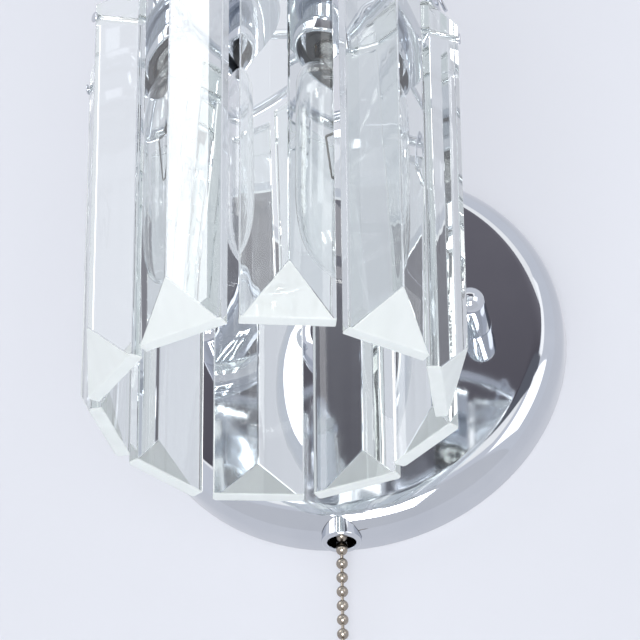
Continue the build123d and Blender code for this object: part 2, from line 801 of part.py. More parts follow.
with BuildPart() as block_screw:
    with BuildSketch(Plane.XZ):
        with Locations((terminal_pitch / 2, terminal_z)):
            Circle(fixing_r)
    extrude(amount=-terminal_front_y)
    with BuildSketch(Plane.XZ.offset(-terminal_front_y)):
        with Locations((terminal_pitch / 2, terminal_z)):
            Circle(fixing_head_r)
    extrude(amount=fixing_head_height)
block_screw.part.label = "block_screw"
export_step(block_screw.part, "parts/block_screw.step")

# ================= pull switch =================

with BuildPart() as collar:
    with BuildSketch(Plane.XY.offset(collar_foot_z)):
        with Locations((switch_x, switch_y)):
            Circle(collar_r)
    extrude(amount=collar_seat_z - collar_foot_z)
    with BuildSketch(Plane.XY.offset(collar_seat_z)):
        with Locations((switch_x, switch_y)):
            Circle(collar_neck_r)
    extrude(amount=switch_foot_z - collar_seat_z)
    with BuildSketch(Plane.XY.offset(collar_foot_z)):
        with Locations((switch_x, switch_y)):
            Circle(collar_bore_r)
    extrude(amount=switch_foot_z - collar_foot_z, mode=Mode.SUBTRACT)
    fillet(collar.faces().sort_by(Axis.Z)[0].edges(), collar_lip / 2)
collar.part.label = "collar"
export_step(collar.part, "parts/collar.step")

with BuildPart() as collar_nut:
    with BuildSketch(Plane.XY.offset(collar_nut_foot_z)):
        with Locations((switch_x, switch_y)):
            Circle(collar_nut_r)
            Circle(collar_neck_r, mode=Mode.SUBTRACT)
    extrude(amount=collar_nut_height)
collar_nut.part.label = "collar_nut"
export_step(collar_nut.part, "parts/collar_nut.step")

switch_middle = (switch_x, (switch_front_y + switch_back_y) / 2, (switch_foot_z + switch_top_z) / 2)
inner_width = switch_width - 2 * switch_wall
inner_height = switch_height - 2 * switch_wall
lid_front_y = switch_back_y - switch_wall

with BuildPart() as switch_case:
    with Locations(switch_middle):
        Box(switch_width, switch_depth, switch_height)
    fillet(switch_case.edges().filter_by(Axis.Y), 1)
    with BuildSketch(Plane.XZ.offset(-switch_back_y)):
        with Locations((switch_x, switch_middle[2])):
            Rectangle(inner_width, inner_height)
    extrude(amount=switch_depth - switch_wall, mode=Mode.SUBTRACT)
    with BuildSketch(Plane.XY.offset(switch_foot_z)):
        with Locations((switch_x, switch_y)):
            Circle(switch_boss_r)
            Circle(collar_neck_r, mode=Mode.SUBTRACT)
    extrude(amount=-switch_boss_height)
    with BuildSketch(Plane.XY.offset(switch_foot_z)):
        with Locations((switch_x, switch_y)):
            Circle(2 * link_r)
    extrude(amount=switch_wall, mode=Mode.SUBTRACT)
    with BuildSketch(Plane.XY.offset(switch_top_z)):
        with Locations((live_contact_x, lead_y), (switched_contact_x, lead_y)):
            Circle(lead_r + slip)
    extrude(amount=-switch_wall, mode=Mode.SUBTRACT)
    with BuildSketch(Plane.XZ.offset(-switch_back_y)):
        with Locations((lever_pivot_x, lever_pivot_z)):
            Circle(pivot_r)
    extrude(amount=switch_depth, mode=Mode.SUBTRACT)
switch_case.part.label = "switch_case"
export_step(switch_case.part, "parts/switch_case.step")

with BuildPart() as switch_lid:
    with BuildSketch(Plane.XZ.offset(-switch_back_y)):
        with Locations((switch_x, switch_middle[2])):
            Rectangle(inner_width, inner_height)
        with Locations((lever_pivot_x, lever_pivot_z)):
            Circle(pivot_r, mode=Mode.SUBTRACT)
    extrude(amount=switch_wall)
switch_lid.part.label = "switch_lid"
export_step(switch_lid.part, "parts/switch_lid.step")

with BuildPart() as lever_pin:
    with BuildSketch(Plane.XZ.offset(-switch_back_y)):
        with Locations((lever_pivot_x, lever_pivot_z)):
            Circle(pivot_r)
    extrude(amount=switch_depth)
lever_pin.part.label = "lever_pin"
export_step(lever_pin.part, "parts/lever_pin.step")

with BuildPart() as switch_lever:
    with BuildSketch(Plane.XZ.offset(-switch_y - lever_depth / 2)):
        with Locations((lever_pivot_x, lever_pivot_z)):
            Circle(lever_boss_r)
        with Locations((lever_pivot_x + (lever_arm + lever_overhang) / 2, lever_pivot_z)):
            Rectangle(lever_arm + lever_overhang, lever_thickness)
        with Locations((lever_pivot_x, lever_pivot_z)):
            Circle(pivot_r + running_gap, mode=Mode.SUBTRACT)
    extrude(amount=lever_depth)
    with BuildSketch(Plane.XY.offset(lever_pivot_z)):
        with Locations((switch_x + lever_overhang / 2, switch_y)):
            Rectangle(lever_overhang + lever_slot, lever_slot)
    extrude(amount=lever_thickness, both=True, mode=Mode.SUBTRACT)
switch_lever.part.label = "switch_lever"
export_step(switch_lever.part, "parts/switch_lever.step")

spring_foot_z = switch_foot_z + switch_wall + spring_wire_r
spring_top_z = lever_pivot_z - lever_thickness / 2 - spring_gap - spring_wire_r
spring_pitch = (spring_top_z - spring_foot_z) / spring_turns

with BuildPart() as return_spring:
    with BuildLine() as spring_line:
        Helix(
            spring_pitch,
            spring_top_z - spring_foot_z,
            spring_r,
            center=(switch_x, switch_y, spring_foot_z),
        )
    with BuildSketch(Plane(spring_line.line @ 0, z_dir=spring_line.line % 0)):
        Circle(spring_wire_r)
    sweep(is_frenet=True)
return_spring.part.label = "return_spring"
export_step(return_spring.part, "parts/return_spring.step")

contact_y = lead_y - lead_r - contact_thickness / 2

with BuildPart() as switch_contacts:
    with BuildSketch(Plane.XY.offset(switch_top_z - switch_wall)):
        with Locations((live_contact_x, contact_y), (switched_contact_x, contact_y)):
            Rectangle(contact_width, contact_thickness)
    extrude(amount=-contact_length)
switch_contacts.part.label = "switch_contacts"
export_step(switch_contacts.part, "parts/switch_contacts.step")

# ================= pull chain =================

with BuildPart() as chain_clip:
    with Locations((switch_x, switch_y, clip_ball_z)):
        Sphere(bead_r)
    with BuildSketch(Plane.XY.offset(clip_barrel_z)):
        with Locations((switch_x, switch_y)):
            Circle(link_r)
    extrude(amount=clip_ball_z - clip_barrel_z)
    with BuildSketch(Plane.XY.offset(clip_barrel_z)):
        with Locations((switch_x, switch_y)):
            Circle(clip_barrel_r)
    extrude(amount=-clip_barrel_length)
chain_clip.part.label = "chain_clip"
export_step(chain_clip.part, "parts/chain_clip.step")

with BuildPart() as pull_chain:
    with BuildSketch(Plane.XZ.offset(-switch_y)):
        with BuildLine():
            rise = (bead_r**2 - link_r**2) ** 0.5
            for bead in range(bead_count):
                bead_z = chain_top_z - (bead + 0.5) * bead_pitch
                next_z = bead_z - bead_pitch / 2
                Line((switch_x + link_r, bead_z + bead_pitch / 2), (switch_x + link_r, bead_z + rise))
                ThreePointArc(
                    (switch_x + link_r, bead_z + rise),
                    (switch_x + bead_r, bead_z),
                    (switch_x + link_r, bead_z - rise),
                )
                Line((switch_x + link_r, bead_z - rise), (switch_x + link_r, next_z))
            Line((switch_x + link_r, next_z), (switch_x, next_z))
            Line((switch_x, next_z), (switch_x, chain_top_z))
            Line((switch_x, chain_top_z), (switch_x + link_r, chain_top_z))
        make_face()
    revolve(axis=Axis((switch_x, switch_y, 0), (0, 0, 1)))
pull_chain.part.label = "pull_chain"
export_step(pull_chain.part, "parts/pull_chain.step")

with BuildPart() as pull_weight:
    with BuildSketch(Plane.XZ.offset(-switch_y)):
        with BuildLine():
            weight_foot_z = weight_top_z - weight_length
            Line((switch_x, weight_top_z), (switch_x + weight_top_r, weight_top_z))
            Spline(
                (switch_x + weight_top_r, weight_top_z),
                (switch_x + weight_r, weight_foot_z + weight_r / 2),
                tangents=((0, -1), (0, -1)),
            )
            RadiusArc(
                (switch_x + weight_r, weight_foot_z + weight_r / 2),
                (switch_x + weight_r / 2, weight_foot_z),
                weight_r / 2,
            )
            Line((switch_x + weight_r / 2, weight_foot_z), (switch_x, weight_foot_z))
            Line((switch_x, weight_foot_z), (switch_x, weight_top_z))
        make_face()
    revolve(axis=Axis((switch_x, switch_y, 0), (0, 0, 1)))
    with BuildSketch(Plane.XY.offset(weight_top_z)):
        with Locations((switch_x, switch_y)):
            Circle(bead_r)
    extrude(amount=-bead_pitch, mode=Mode.SUBTRACT)
pull_weight.part.label = "pull_weight"
export_step(pull_weight.part, "parts/pull_weight.step")
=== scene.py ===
"""Crystal wall sconce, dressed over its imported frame.

The frame is in metres, with the wall at y = 0, the room towards -Y and +Z up. Every new piece is
modelled where its node lies and rides on that node's body.
"""
import json
from math import asin, atan2, cos, pi, radians, sin, sqrt, tan

import bmesh
import bpy
import numpy as np
from bpy.props import FloatProperty, FloatVectorProperty, IntProperty, PointerProperty
from mathutils import Matrix, Vector

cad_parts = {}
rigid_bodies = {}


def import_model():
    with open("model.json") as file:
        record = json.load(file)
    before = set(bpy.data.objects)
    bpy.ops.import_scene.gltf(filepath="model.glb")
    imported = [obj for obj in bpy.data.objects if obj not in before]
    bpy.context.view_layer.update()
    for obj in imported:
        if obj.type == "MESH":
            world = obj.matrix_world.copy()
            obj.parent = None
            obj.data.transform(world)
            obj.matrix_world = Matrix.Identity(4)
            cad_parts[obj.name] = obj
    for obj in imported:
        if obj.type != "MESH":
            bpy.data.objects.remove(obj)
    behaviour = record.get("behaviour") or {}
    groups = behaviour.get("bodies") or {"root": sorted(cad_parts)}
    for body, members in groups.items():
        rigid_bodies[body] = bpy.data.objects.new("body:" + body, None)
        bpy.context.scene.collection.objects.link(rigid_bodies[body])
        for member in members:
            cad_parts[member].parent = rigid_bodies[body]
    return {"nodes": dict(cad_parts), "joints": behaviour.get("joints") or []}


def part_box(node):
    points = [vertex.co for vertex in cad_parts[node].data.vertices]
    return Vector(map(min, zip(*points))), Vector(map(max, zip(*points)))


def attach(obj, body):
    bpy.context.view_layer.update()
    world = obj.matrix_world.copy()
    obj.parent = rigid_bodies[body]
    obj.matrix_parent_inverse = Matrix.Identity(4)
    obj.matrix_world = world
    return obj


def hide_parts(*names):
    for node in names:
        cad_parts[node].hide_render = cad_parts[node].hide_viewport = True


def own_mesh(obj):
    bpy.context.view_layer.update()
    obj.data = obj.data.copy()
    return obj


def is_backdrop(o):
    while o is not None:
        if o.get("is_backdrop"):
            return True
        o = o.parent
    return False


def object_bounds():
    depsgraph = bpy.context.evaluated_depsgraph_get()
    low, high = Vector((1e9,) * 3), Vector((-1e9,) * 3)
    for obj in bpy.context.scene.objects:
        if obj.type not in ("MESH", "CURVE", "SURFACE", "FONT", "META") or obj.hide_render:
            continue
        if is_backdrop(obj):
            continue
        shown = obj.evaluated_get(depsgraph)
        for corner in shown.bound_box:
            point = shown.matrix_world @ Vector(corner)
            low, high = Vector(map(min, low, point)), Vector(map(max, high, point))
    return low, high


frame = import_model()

# Blender's start-up objects aren't part of the sconce, and would count in its box.
for started in list(bpy.data.objects):
    if started.name in ("Cube", "Light", "Camera"):
        bpy.data.objects.remove(started)
bpy.context.view_layer.update()
CAD_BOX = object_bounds()

bl_info = {
    "name": "Crystal Wall Sconce",
    "version": (1, 0, 0),
    "blender": (4, 5, 0),
    "location": "View3D > Sidebar > Sconce",
    "description": "Models and finishes a chromed wall light with hanging crystal bars",
    "category": "Object",
}

MM = 0.001
ACROSS = Vector((1, 0, 0))
TO_WALL = Vector((0, 1, 0))
TO_ROOM = Vector((0, -1, 0))
UP = Vector((0, 0, 1))

NODES = frame["nodes"]
JOINTS = {joint["name"]: joint for joint in frame["joints"]}
CRYSTALS = sorted(name for name in NODES if name.startswith("prism_"))

# ---------------------------------------------------------------- sizes and places from the frame

PLATE_LOW, PLATE_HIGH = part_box("back_plate")
ARM_LOW, ARM_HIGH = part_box("arm_tube")
CUP_LOW, CUP_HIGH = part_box("lamp_cup")
RING_LOW, RING_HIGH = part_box("carrier_ring")
BAR_LOW, BAR_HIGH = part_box(CRYSTALS[0])
COLLAR_LOW, COLLAR_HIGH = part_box("collar")
CHAIN_LOW, CHAIN_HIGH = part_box("pull_chain")

PLATE_R = (PLATE_HIGH.x - PLATE_LOW.x) / 2
PLATE_FACE_Y = PLATE_LOW.y
ARM_R = ARM_HIGH.x
ARM_UPPER_Z = ARM_HIGH.z - ARM_R
SHADE_Y = (CUP_LOW.y + CUP_HIGH.y) / 2
SHADE_AT = Vector((0, SHADE_Y, 0))
RING_WIRE_R = (RING_HIGH.z - RING_LOW.z) / 2
RING_Z = (RING_HIGH.z + RING_LOW.z) / 2
COLLAR_R = (COLLAR_HIGH.x - COLLAR_LOW.x) / 2
COLLAR_AT = Vector(((COLLAR_LOW.x + COLLAR_HIGH.x) / 2, (COLLAR_LOW.y + COLLAR_HIGH.y) / 2, 0))
CHAIN_AT = Vector(((CHAIN_LOW.x + CHAIN_HIGH.x) / 2, (CHAIN_LOW.y + CHAIN_HIGH.y) / 2, 0))

# Sizes that several pieces share and the frame's boxes don't give. They are the part's own.
SHEET = 1.0 * MM  # the metal of the plate and of the cup
FIT = 0.1 * MM  # from a piece to the edge of the hole that it passes through
CUP_NECK_R = 11.0 * MM
COLLAR_NECK_R = 4.8 * MM
COLLAR_SEAT_Z = -PLATE_R + 5.5 * MM
HANG_GAP = 0.3 * MM  # from a hook's wire to what it hangs on
BAR_BACK = 3.4 * MM  # from the line that a bar hangs on to its flat back
BAR_DEPTH = 9.5 * MM  # from its flat back to its ridge
BAR_HOLE_R = 1.0 * MM
BAR_HOLE_Z = BAR_HIGH.z - 4.5 * MM

# Meshes are welded where points lie closer than this: a turned piece at its seam, then every piece.
SEAM_WELD = 0.002 * MM
WELD = 0.001 * MM


# ---------------------------------------------------------------- colours and nodes

# The colour sockets of a Mix node, whose other sockets have the same names.
MIX_LOW, MIX_HIGH, MIX_RESULT = 6, 7, 2


def linear(colour):
    """An sRGB hex colour such as "#C8CDD3" as linear red, green, blue and alpha."""
    values = [int(colour[i : i + 2], 16) / 255 for i in (1, 3, 5)]
    return [v / 12.92 if v <= 0.04045 else ((v + 0.055) / 1.055) ** 2.4 for v in values] + [1.0]


def link(owner, socket, node, key):
    """Links a socket to a node's input, given by its name or number."""
    owner.node_tree.links.new(socket, node.inputs[key])


def add_node(owner, kind, settings=None, *sockets, **links):
    """Adds a node to a material or the world, with its settings and its links.

    settings holds properties, and input values by name or number. The sockets link to the inputs in
    their order, and the links to the inputs that they name.
    """
    node = owner.node_tree.nodes.new(kind)
    for key, value in (settings or {}).items():
        if isinstance(key, int) or key in node.inputs.keys():
            node.inputs[key].default_value = value
        else:
            setattr(node, key, value)
    for number, socket in enumerate(sockets):
        link(owner, socket, node, number)
    for name, socket in links.items():
        link(owner, socket, node, name.replace("_", " "))
    return node


def show(owner, socket):
    """Makes a shader the surface of a material or the world."""
    output = "World Output" if isinstance(owner, bpy.types.World) else "Material Output"
    link(owner, socket, owner.node_tree.nodes[output], "Surface")


def new_material(name, **settings):
    """A material with one Principled shader, and that shader."""
    material = bpy.data.materials.new(name)
    material.use_nodes = True
    shader = material.node_tree.nodes["Principled BSDF"]
    for key, value in settings.items():
        socket = shader.inputs[key.replace("_", " ")]
        socket.default_value = linear(value) if isinstance(value, str) else value
    return material, shader


def object_coordinates(material, size, lengthwise=1.0):
    """Object coordinates in units of a size in metres, with less change along Z where lengthwise is low."""
    coordinates = add_node(material, "ShaderNodeTexCoord")
    scale = {"Scale": (1 / size, 1 / size, lengthwise / size)}
    mapping = add_node(material, "ShaderNodeMapping", scale, Vector=coordinates.outputs["Object"])
    return mapping.outputs["Vector"]


def clouded(material, shader, size, detail, low, high):
    """Lets the base colour drift between two tones over a size in metres. Returns the drift, 0 to 1."""
    at = object_coordinates(material, size)
    noise = add_node(material, "ShaderNodeTexNoise", {"Scale": 1.0, "Detail": detail}, Vector=at)
    tones = {"data_type": "RGBA", MIX_LOW: linear(low), MIX_HIGH: linear(high)}
    tone = add_node(material, "ShaderNodeMix", tones, noise.outputs["Fac"])
    link(material, tone.outputs[MIX_RESULT], shader, "Base Color")
    return noise.outputs["Fac"]


def relieved(material, shader, height, strength, depth):
    """Raises a shader's surface by a height from 0 to 1, as deep as depth in metres."""
    relief = {"Strength": strength, "Distance": depth}
    bump = add_node(material, "ShaderNodeBump", relief, Height=height)
    link(material, bump.outputs["Normal"], shader, "Normal")


# ---------------------------------------------------------------- finishes


def plated_metal(name, low, high, smoothest, roughest, size, detail):
    """A plated or drawn metal whose tone and roughness drift over a few millimetres."""
    material, shader = new_material(name, Metallic=1.0)
    drift = clouded(material, shader, size, detail, low, high)
    spread = {"To Min": smoothest, "To Max": roughest}
    roughness = add_node(material, "ShaderNodeMapRange", spread, drift)
    link(material, roughness.outputs["Result"], shader, "Roughness")
    return material


def moulded_plastic(name, low, high, roughness, texture):
    """Moulded plastic: a fine spark-eroded texture and a slight drift of colour."""
    material, shader = new_material(name, Roughness=roughness, IOR=1.5)
    grain = clouded(material, shader, texture, 3.0, low, high)
    relieved(material, shader, grain, 0.25, 0.05 * MM)
    return material


def blown_glass(name):
    """Clear soda-lime bulb glass, blown thin: no tint, only its rims and reflections show."""
    material, shader = new_material(
        name, Base_Color="#FBFCFC", Roughness=0.0, IOR=1.50, Transmission_Weight=1.0
    )
    at = object_coordinates(material, 20 * MM)
    streaks = add_node(material, "ShaderNodeTexNoise", {"Scale": 1.0, "Detail": 1.0}, Vector=at)
    relieved(material, shader, streaks.outputs["Fac"], 0.04, 0.3 * MM)
    return material


def piped_light(material, surface):
    """Gives an even tone to light that has bounced inside the glass too often to follow.

    Without it such light renders dark, and leaves dark lines along the bars. The tone is an emission
    that stands in for it. Real glass does no such thing: the tone stays the same whatever lights the
    room, and the bars' likeness to the photo rests partly on it.
    """
    followed_bounces = 3.5
    path = add_node(material, "ShaderNodeLightPath")
    limit = {"operation": "GREATER_THAN", 1: followed_bounces}
    spent = add_node(material, "ShaderNodeMath", limit, path.outputs["Glossy Depth"])
    tone = add_node(material, "ShaderNodeEmission", {"Color": linear("#CDD3D9"), "Strength": 1.0})
    mix = add_node(material, "ShaderNodeMixShader", None, spent.outputs[0], surface, tone.outputs[0])
    show(material, mix.outputs[0])


def cut_crystal(name, whiteness):
    """Lead crystal, pressed, then cut and fire polished: clear, with a trace of green in its depth.

    With whiteness it is the end of a bar, which is ground and only lightly polished, and so
    scatters that share of the light whitely.
    """
    material, shader = new_material(
        name, Base_Color="#F9FCFB", Roughness=0.0, IOR=1.545, Transmission_Weight=1.0
    )
    at = object_coordinates(material, 9 * MM, 0.12)
    waves = add_node(material, "ShaderNodeTexNoise", {"Scale": 1.0, "Detail": 2.0}, Vector=at)
    relieved(material, shader, waves.outputs["Fac"], 0.06, 0.4 * MM)
    surface = shader.outputs[0]
    if whiteness:
        unevenness = 0.1
        frost = add_node(material, "ShaderNodeBsdfDiffuse", {"Color": linear("#F4F8F5")})
        through = add_node(material, "ShaderNodeBsdfTranslucent", {"Color": linear("#F2F7F4")})
        white = add_node(material, "ShaderNodeMixShader", {"Fac": 0.35})
        link(material, frost.outputs[0], white, 1)
        link(material, through.outputs[0], white, 2)
        spread = {"To Min": whiteness - unevenness, "To Max": whiteness + unevenness}
        share = add_node(material, "ShaderNodeMapRange", spread, waves.outputs["Fac"])
        ground = add_node(
            material, "ShaderNodeMixShader", None, share.outputs["Result"], surface, white.outputs[0]
        )
        surface = ground.outputs[0]
    piped_light(material, surface)
    return material


# For a metal: its darker and lighter tone, its least and most roughness, and the size and detail of
# their drift. For a plastic: its two tones, its roughness and the size of its texture. For crystal:
# the share of light that it scatters.
FINISHES = {
    # Chrome plate over buffed brass: near-mirror, faintly blue, with a film of handling marks.
    "chrome": (plated_metal, "Polished chrome plate", "#CBCFD6", "#D9DCE1", 0.025, 0.085, 14 * MM, 4.0),
    "crystal": (cut_crystal, "Polished lead crystal", 0),
    "crystal_end": (cut_crystal, "Ground crystal end", 0.7),
    "bulb": (blown_glass, "Blown bulb glass"),
    # Nickel plate on rolled brass beads: warmer and duller than the chrome.
    "nickel": (plated_metal, "Nickel-plated bead chain", "#8F867C", "#BDB4A8", 0.16, 0.30, 2 * MM, 6.0),
    # Zinc plate straight from the bath: grey, matt, a little cloudy.
    "zinc": (plated_metal, "Zinc-plated steel", "#A3A5A4", "#BFC0BE", 0.32, 0.46, 3 * MM, 6.0),
    # Stamped brass, not lacquered: yellow, with a soft shine.
    "brass": (plated_metal, "Bright brass", "#B9935A", "#D0AC6C", 0.18, 0.32, 3 * MM, 6.0),
    # Thin aluminium rolled to shape: pale, with a softer shine than chrome.
    "cap_metal": (plated_metal, "Rolled aluminium lamp cap", "#B9B8B4", "#D2D1CD", 0.20, 0.34, 3 * MM, 6.0),
    # Tungsten drawn to a hair: dark grey and dull.
    "filament": (plated_metal, "Drawn tungsten wire", "#5A5855", "#7C7975", 0.35, 0.50, 1 * MM, 6.0),
    # Moulded urea: off-white, with a low sheen.
    "white": (moulded_plastic, "Moulded white urea", "#DAD8D0", "#E8E6DF", 0.45, 0.6 * MM),
    # Moulded phenolic: near-black, a little glossier.
    "black": (moulded_plastic, "Moulded black phenolic", "#0D0D0E", "#1B1B1C", 0.38, 0.6 * MM),
    # Extruded flex sheaths, in the colours of live, neutral and earth.
    "brown": (moulded_plastic, "Brown flex sheath", "#4A2C1B", "#573723", 0.42, 0.8 * MM),
    "blue": (moulded_plastic, "Blue flex sheath", "#234A86", "#2D5798", 0.42, 0.8 * MM),
    "green": (moulded_plastic, "Green flex sheath", "#3D8A38", "#4B9C45", 0.42, 0.8 * MM),
}
MATERIALS = {}

# The nodes whose frame shapes stay, by their finish.
CARRIED_OVER = {
    "bulb": ("lamp_glass", "lamp_stem"),
    "cap_metal": ("lamp_base",),
    "filament": ("lamp_filament",),
    "black": ("lampholder",),
    "brass": ("socket_shell", "centre_contact", "terminal_tubes", "switch_contacts", "earth_screw"),
    "white": ("terminal_block", "switch_case", "switch_lid", "switch_lever"),
    "zinc": (
        *("wall_bracket", "plate_studs", "arm_washer", "arm_nut"),
        *("terminal_screws", "block_screw", "collar_nut", "lever_pin"),
    ),
    "nickel": ("chain_clip",),
    "brown": ("lead_live", "lead_switched"),
    "blue": ("lead_neutral",),
    "green": ("lead_earth",),
}


def finish_named(key):
    """The material of that key, made the first time it is asked for."""
    if key not in MATERIALS:
        maker, *values = FINISHES[key]
        MATERIALS[key] = maker(*values)
    return MATERIALS[key]


# ---------------------------------------------------------------- modelling helpers


def deselect():
    """Leaves edit mode, with nothing selected."""
    if bpy.context.object and bpy.context.object.mode != "OBJECT":
        bpy.ops.object.mode_set(mode="OBJECT")
    bpy.ops.object.select_all(action="DESELECT")


def only(piece):
    """Makes one object the only selected one, and the active one."""
    deselect()
    piece.select_set(True)
    bpy.context.view_layer.objects.active = piece


def start_line(points):
    """A new mesh of one open line, extruded point by point from a single vertex. Ends in edit mode."""
    deselect()
    bpy.ops.mesh.primitive_plane_add(size=MM, location=points[0])
    bpy.ops.object.transform_apply(location=True, rotation=True, scale=True)
    bpy.ops.object.mode_set(mode="EDIT")
    bpy.ops.mesh.select_all(action="SELECT")
    bpy.ops.mesh.merge(type="CENTER")
    for before, after in zip(points, points[1:]):
        step = Vector(after) - Vector(before)
        bpy.ops.mesh.extrude_vertices_move(TRANSFORM_OT_translate={"value": tuple(step)})
    return bpy.context.object


def round_corners(piece, corners):
    """Rounds corners of a line in edit mode. corners is a list of (point, radius, segments)."""
    for point, radius, segments in corners:
        shape = bmesh.from_edit_mesh(piece.data)
        for vertex in shape.verts:
            vertex.select = False
        shape.verts.ensure_lookup_table()
        nearest = min(shape.verts, key=lambda vertex: (vertex.co - Vector(point)).length)
        arms = [(edge.other_vert(nearest).co - nearest.co).normalized() for edge in nearest.link_edges]
        turn = pi - arms[0].angle(arms[1])
        nearest.select = True
        bmesh.update_edit_mesh(piece.data)
        bpy.ops.mesh.bevel(
            affect="VERTICES",
            offset=radius * tan(turn / 2),
            segments=segments,
            profile=0.5,
            clamp_overlap=False,
        )


def turned(outline, centre, axis, steps=96, corners=()):
    """A turned piece. outline is (radius, height) pairs from centre, in metres, with height along axis.

    corners is a list of (pair, radius, segments), for the pairs of the outline that are rounded.
    """
    placed = {pair: tuple(Vector(centre) + ACROSS * pair[0] + axis * pair[1]) for pair in outline}
    piece = start_line([placed[pair] for pair in outline])
    bpy.ops.mesh.select_all(action="SELECT")
    bpy.ops.mesh.remove_doubles(threshold=SEAM_WELD)
    round_corners(piece, [(placed[pair], radius, segments) for pair, radius, segments in corners])
    bpy.ops.mesh.select_all(action="SELECT")
    bpy.ops.mesh.spin(steps=steps, angle=2 * pi, center=tuple(centre), axis=tuple(axis), use_auto_merge=True)
    bpy.ops.mesh.select_all(action="SELECT")
    bpy.ops.mesh.remove_doubles(threshold=SEAM_WELD)
    bpy.ops.mesh.normals_make_consistent(inside=False)
    bpy.ops.object.mode_set(mode="OBJECT")
    return piece


def bored(piece, places):
    """Cuts round holes through a piece. places is a list of (middle, direction, radius, length)."""
    for middle, direction, radius, length in places:
        deselect()
        bpy.ops.mesh.primitive_cylinder_add(
            vertices=64,
            radius=radius,
            depth=length,
            location=middle,
            rotation=direction.to_track_quat("Z", "Y").to_euler(),
        )
        cutter = bpy.context.object
        only(piece)
        cut = piece.modifiers.new("Hole", "BOOLEAN")
        cut.operation = "DIFFERENCE"
        cut.solver = "EXACT"
        cut.object = cutter
        bpy.ops.object.modifier_apply(modifier=cut.name)
        bpy.data.objects.remove(cutter)


def wire(points, corners, radius, sides):
    """A round wire or tube along a line whose corners are rounded, as a closed mesh."""
    piece = start_line(points)
    round_corners(piece, corners)
    bpy.ops.object.mode_set(mode="OBJECT")
    only(piece)
    bpy.ops.object.convert(target="CURVE")
    curve = bpy.context.object.data
    curve.bevel_depth = radius
    curve.bevel_resolution = sides // 4
    curve.use_fill_caps = True
    bpy.ops.object.convert(target="MESH")
    return bpy.context.object


def soften(piece, width, segments, angle):
    """Rounds a piece's edges that are sharper than an angle in degrees."""
    only(piece)
    bevel = piece.modifiers.new("Edges", "BEVEL")
    bevel.width = width
    bevel.segments = segments
    bevel.limit_method = "ANGLE"
    bevel.angle_limit = radians(angle)
    bevel.harden_normals = False
    bpy.ops.object.modifier_apply(modifier=bevel.name)


def joined(pieces):
    """Several meshes as one object."""
    deselect()
    for piece in pieces:
        piece.select_set(True)
    bpy.context.view_layer.objects.active = pieces[0]
    bpy.ops.object.join()
    return pieces[0]


def finish(piece, name, node, key="chrome", body="fixed", smooth=35):
    """Puts a piece's place in its mesh, gives it a finish, and makes it ride and stand for its node."""
    only(piece)
    bpy.ops.object.transform_apply(location=True, rotation=True, scale=True)
    bpy.ops.object.mode_set(mode="EDIT")
    bpy.ops.mesh.select_all(action="SELECT")
    bpy.ops.mesh.remove_doubles(threshold=WELD)
    bpy.ops.mesh.normals_make_consistent(inside=False)
    bpy.ops.object.mode_set(mode="OBJECT")
    bpy.ops.object.shade_smooth_by_angle(angle=radians(smooth))
    piece.name = piece.data.name = name
    piece.data.materials.clear()
    piece.data.materials.append(finish_named(key))
    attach(piece, body)
    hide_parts(node)
    return piece


# ---------------------------------------------------------------- where each crystal hangs


def swing_joint(crystal):
    """The joint that a crystal swings on."""
    return JOINTS["crystal_" + crystal[-2:] + "_swing"]


def hang_azimuth(crystal):
    """Where a crystal hangs round the shade, from straight ahead towards +X."""
    x, y, _ = swing_joint(crystal)["pos_m"]
    return atan2(x, -(y - SHADE_Y))


def facing_azimuth(crystal):
    """Where a crystal's ridge faces: across the narrow way of its flat top, and outwards."""
    top_band = 0.05 * MM  # how far below the highest point a corner still counts as the top's
    digits = 6  # corners that agree to a micrometre are one
    corners = np.array([vertex.co for vertex in NODES[crystal].data.vertices])
    top = corners[corners[:, 2] > corners[:, 2].max() - top_band][:, :2]
    top = np.unique(np.round(top, digits), axis=0)
    _, directions = np.linalg.eigh(np.cov(top.T))
    across = directions[:, 0]
    hang = hang_azimuth(crystal)
    if across @ (sin(hang), -cos(hang)) < 0:
        across = -across
    return atan2(across[0], -across[1])


def hung_copies(pattern):
    """Hangs a copy of a piece that was modelled on the Z axis at each crystal, and removes the pattern."""
    for crystal in CRYSTALS:
        only(pattern)
        bpy.ops.object.duplicate()
        copy = bpy.context.object
        x, y, _ = swing_joint(crystal)["pos_m"]
        turn = Matrix.Rotation(facing_azimuth(crystal), 4, "Z")
        copy.matrix_world = Matrix.Translation((x, y, 0)) @ turn
        yield copy, crystal
    bpy.data.objects.remove(pattern)


# ---------------------------------------------------------------- what a user would change


class SconceSizes(bpy.types.PropertyGroup):
    plate_round: FloatProperty(
        name="Plate rounding",
        description="Radius of the wall plate's rounded rim",
        default=8 * MM,
        unit="LENGTH",
    )
    edge_polish: FloatProperty(
        name="Crystal edge",
        description="Width of the crystals' polished edges",
        default=0.35 * MM,
        unit="LENGTH",
    )
    bead_sides: IntProperty(
        name="Bead sides", description="Sides of each bead of the chain", default=20, min=8
    )


class SconceLight(bpy.types.PropertyGroup):
    wall: FloatVectorProperty(
        name="Wall",
        description="Colour of the painted wall",
        subtype="COLOR",
        default=linear("#D8DBE3")[:3],
    )
    room: FloatProperty(name="Room light", description="Strength of the even room light", default=0.72, min=0)


# ---------------------------------------------------------------- the pieces


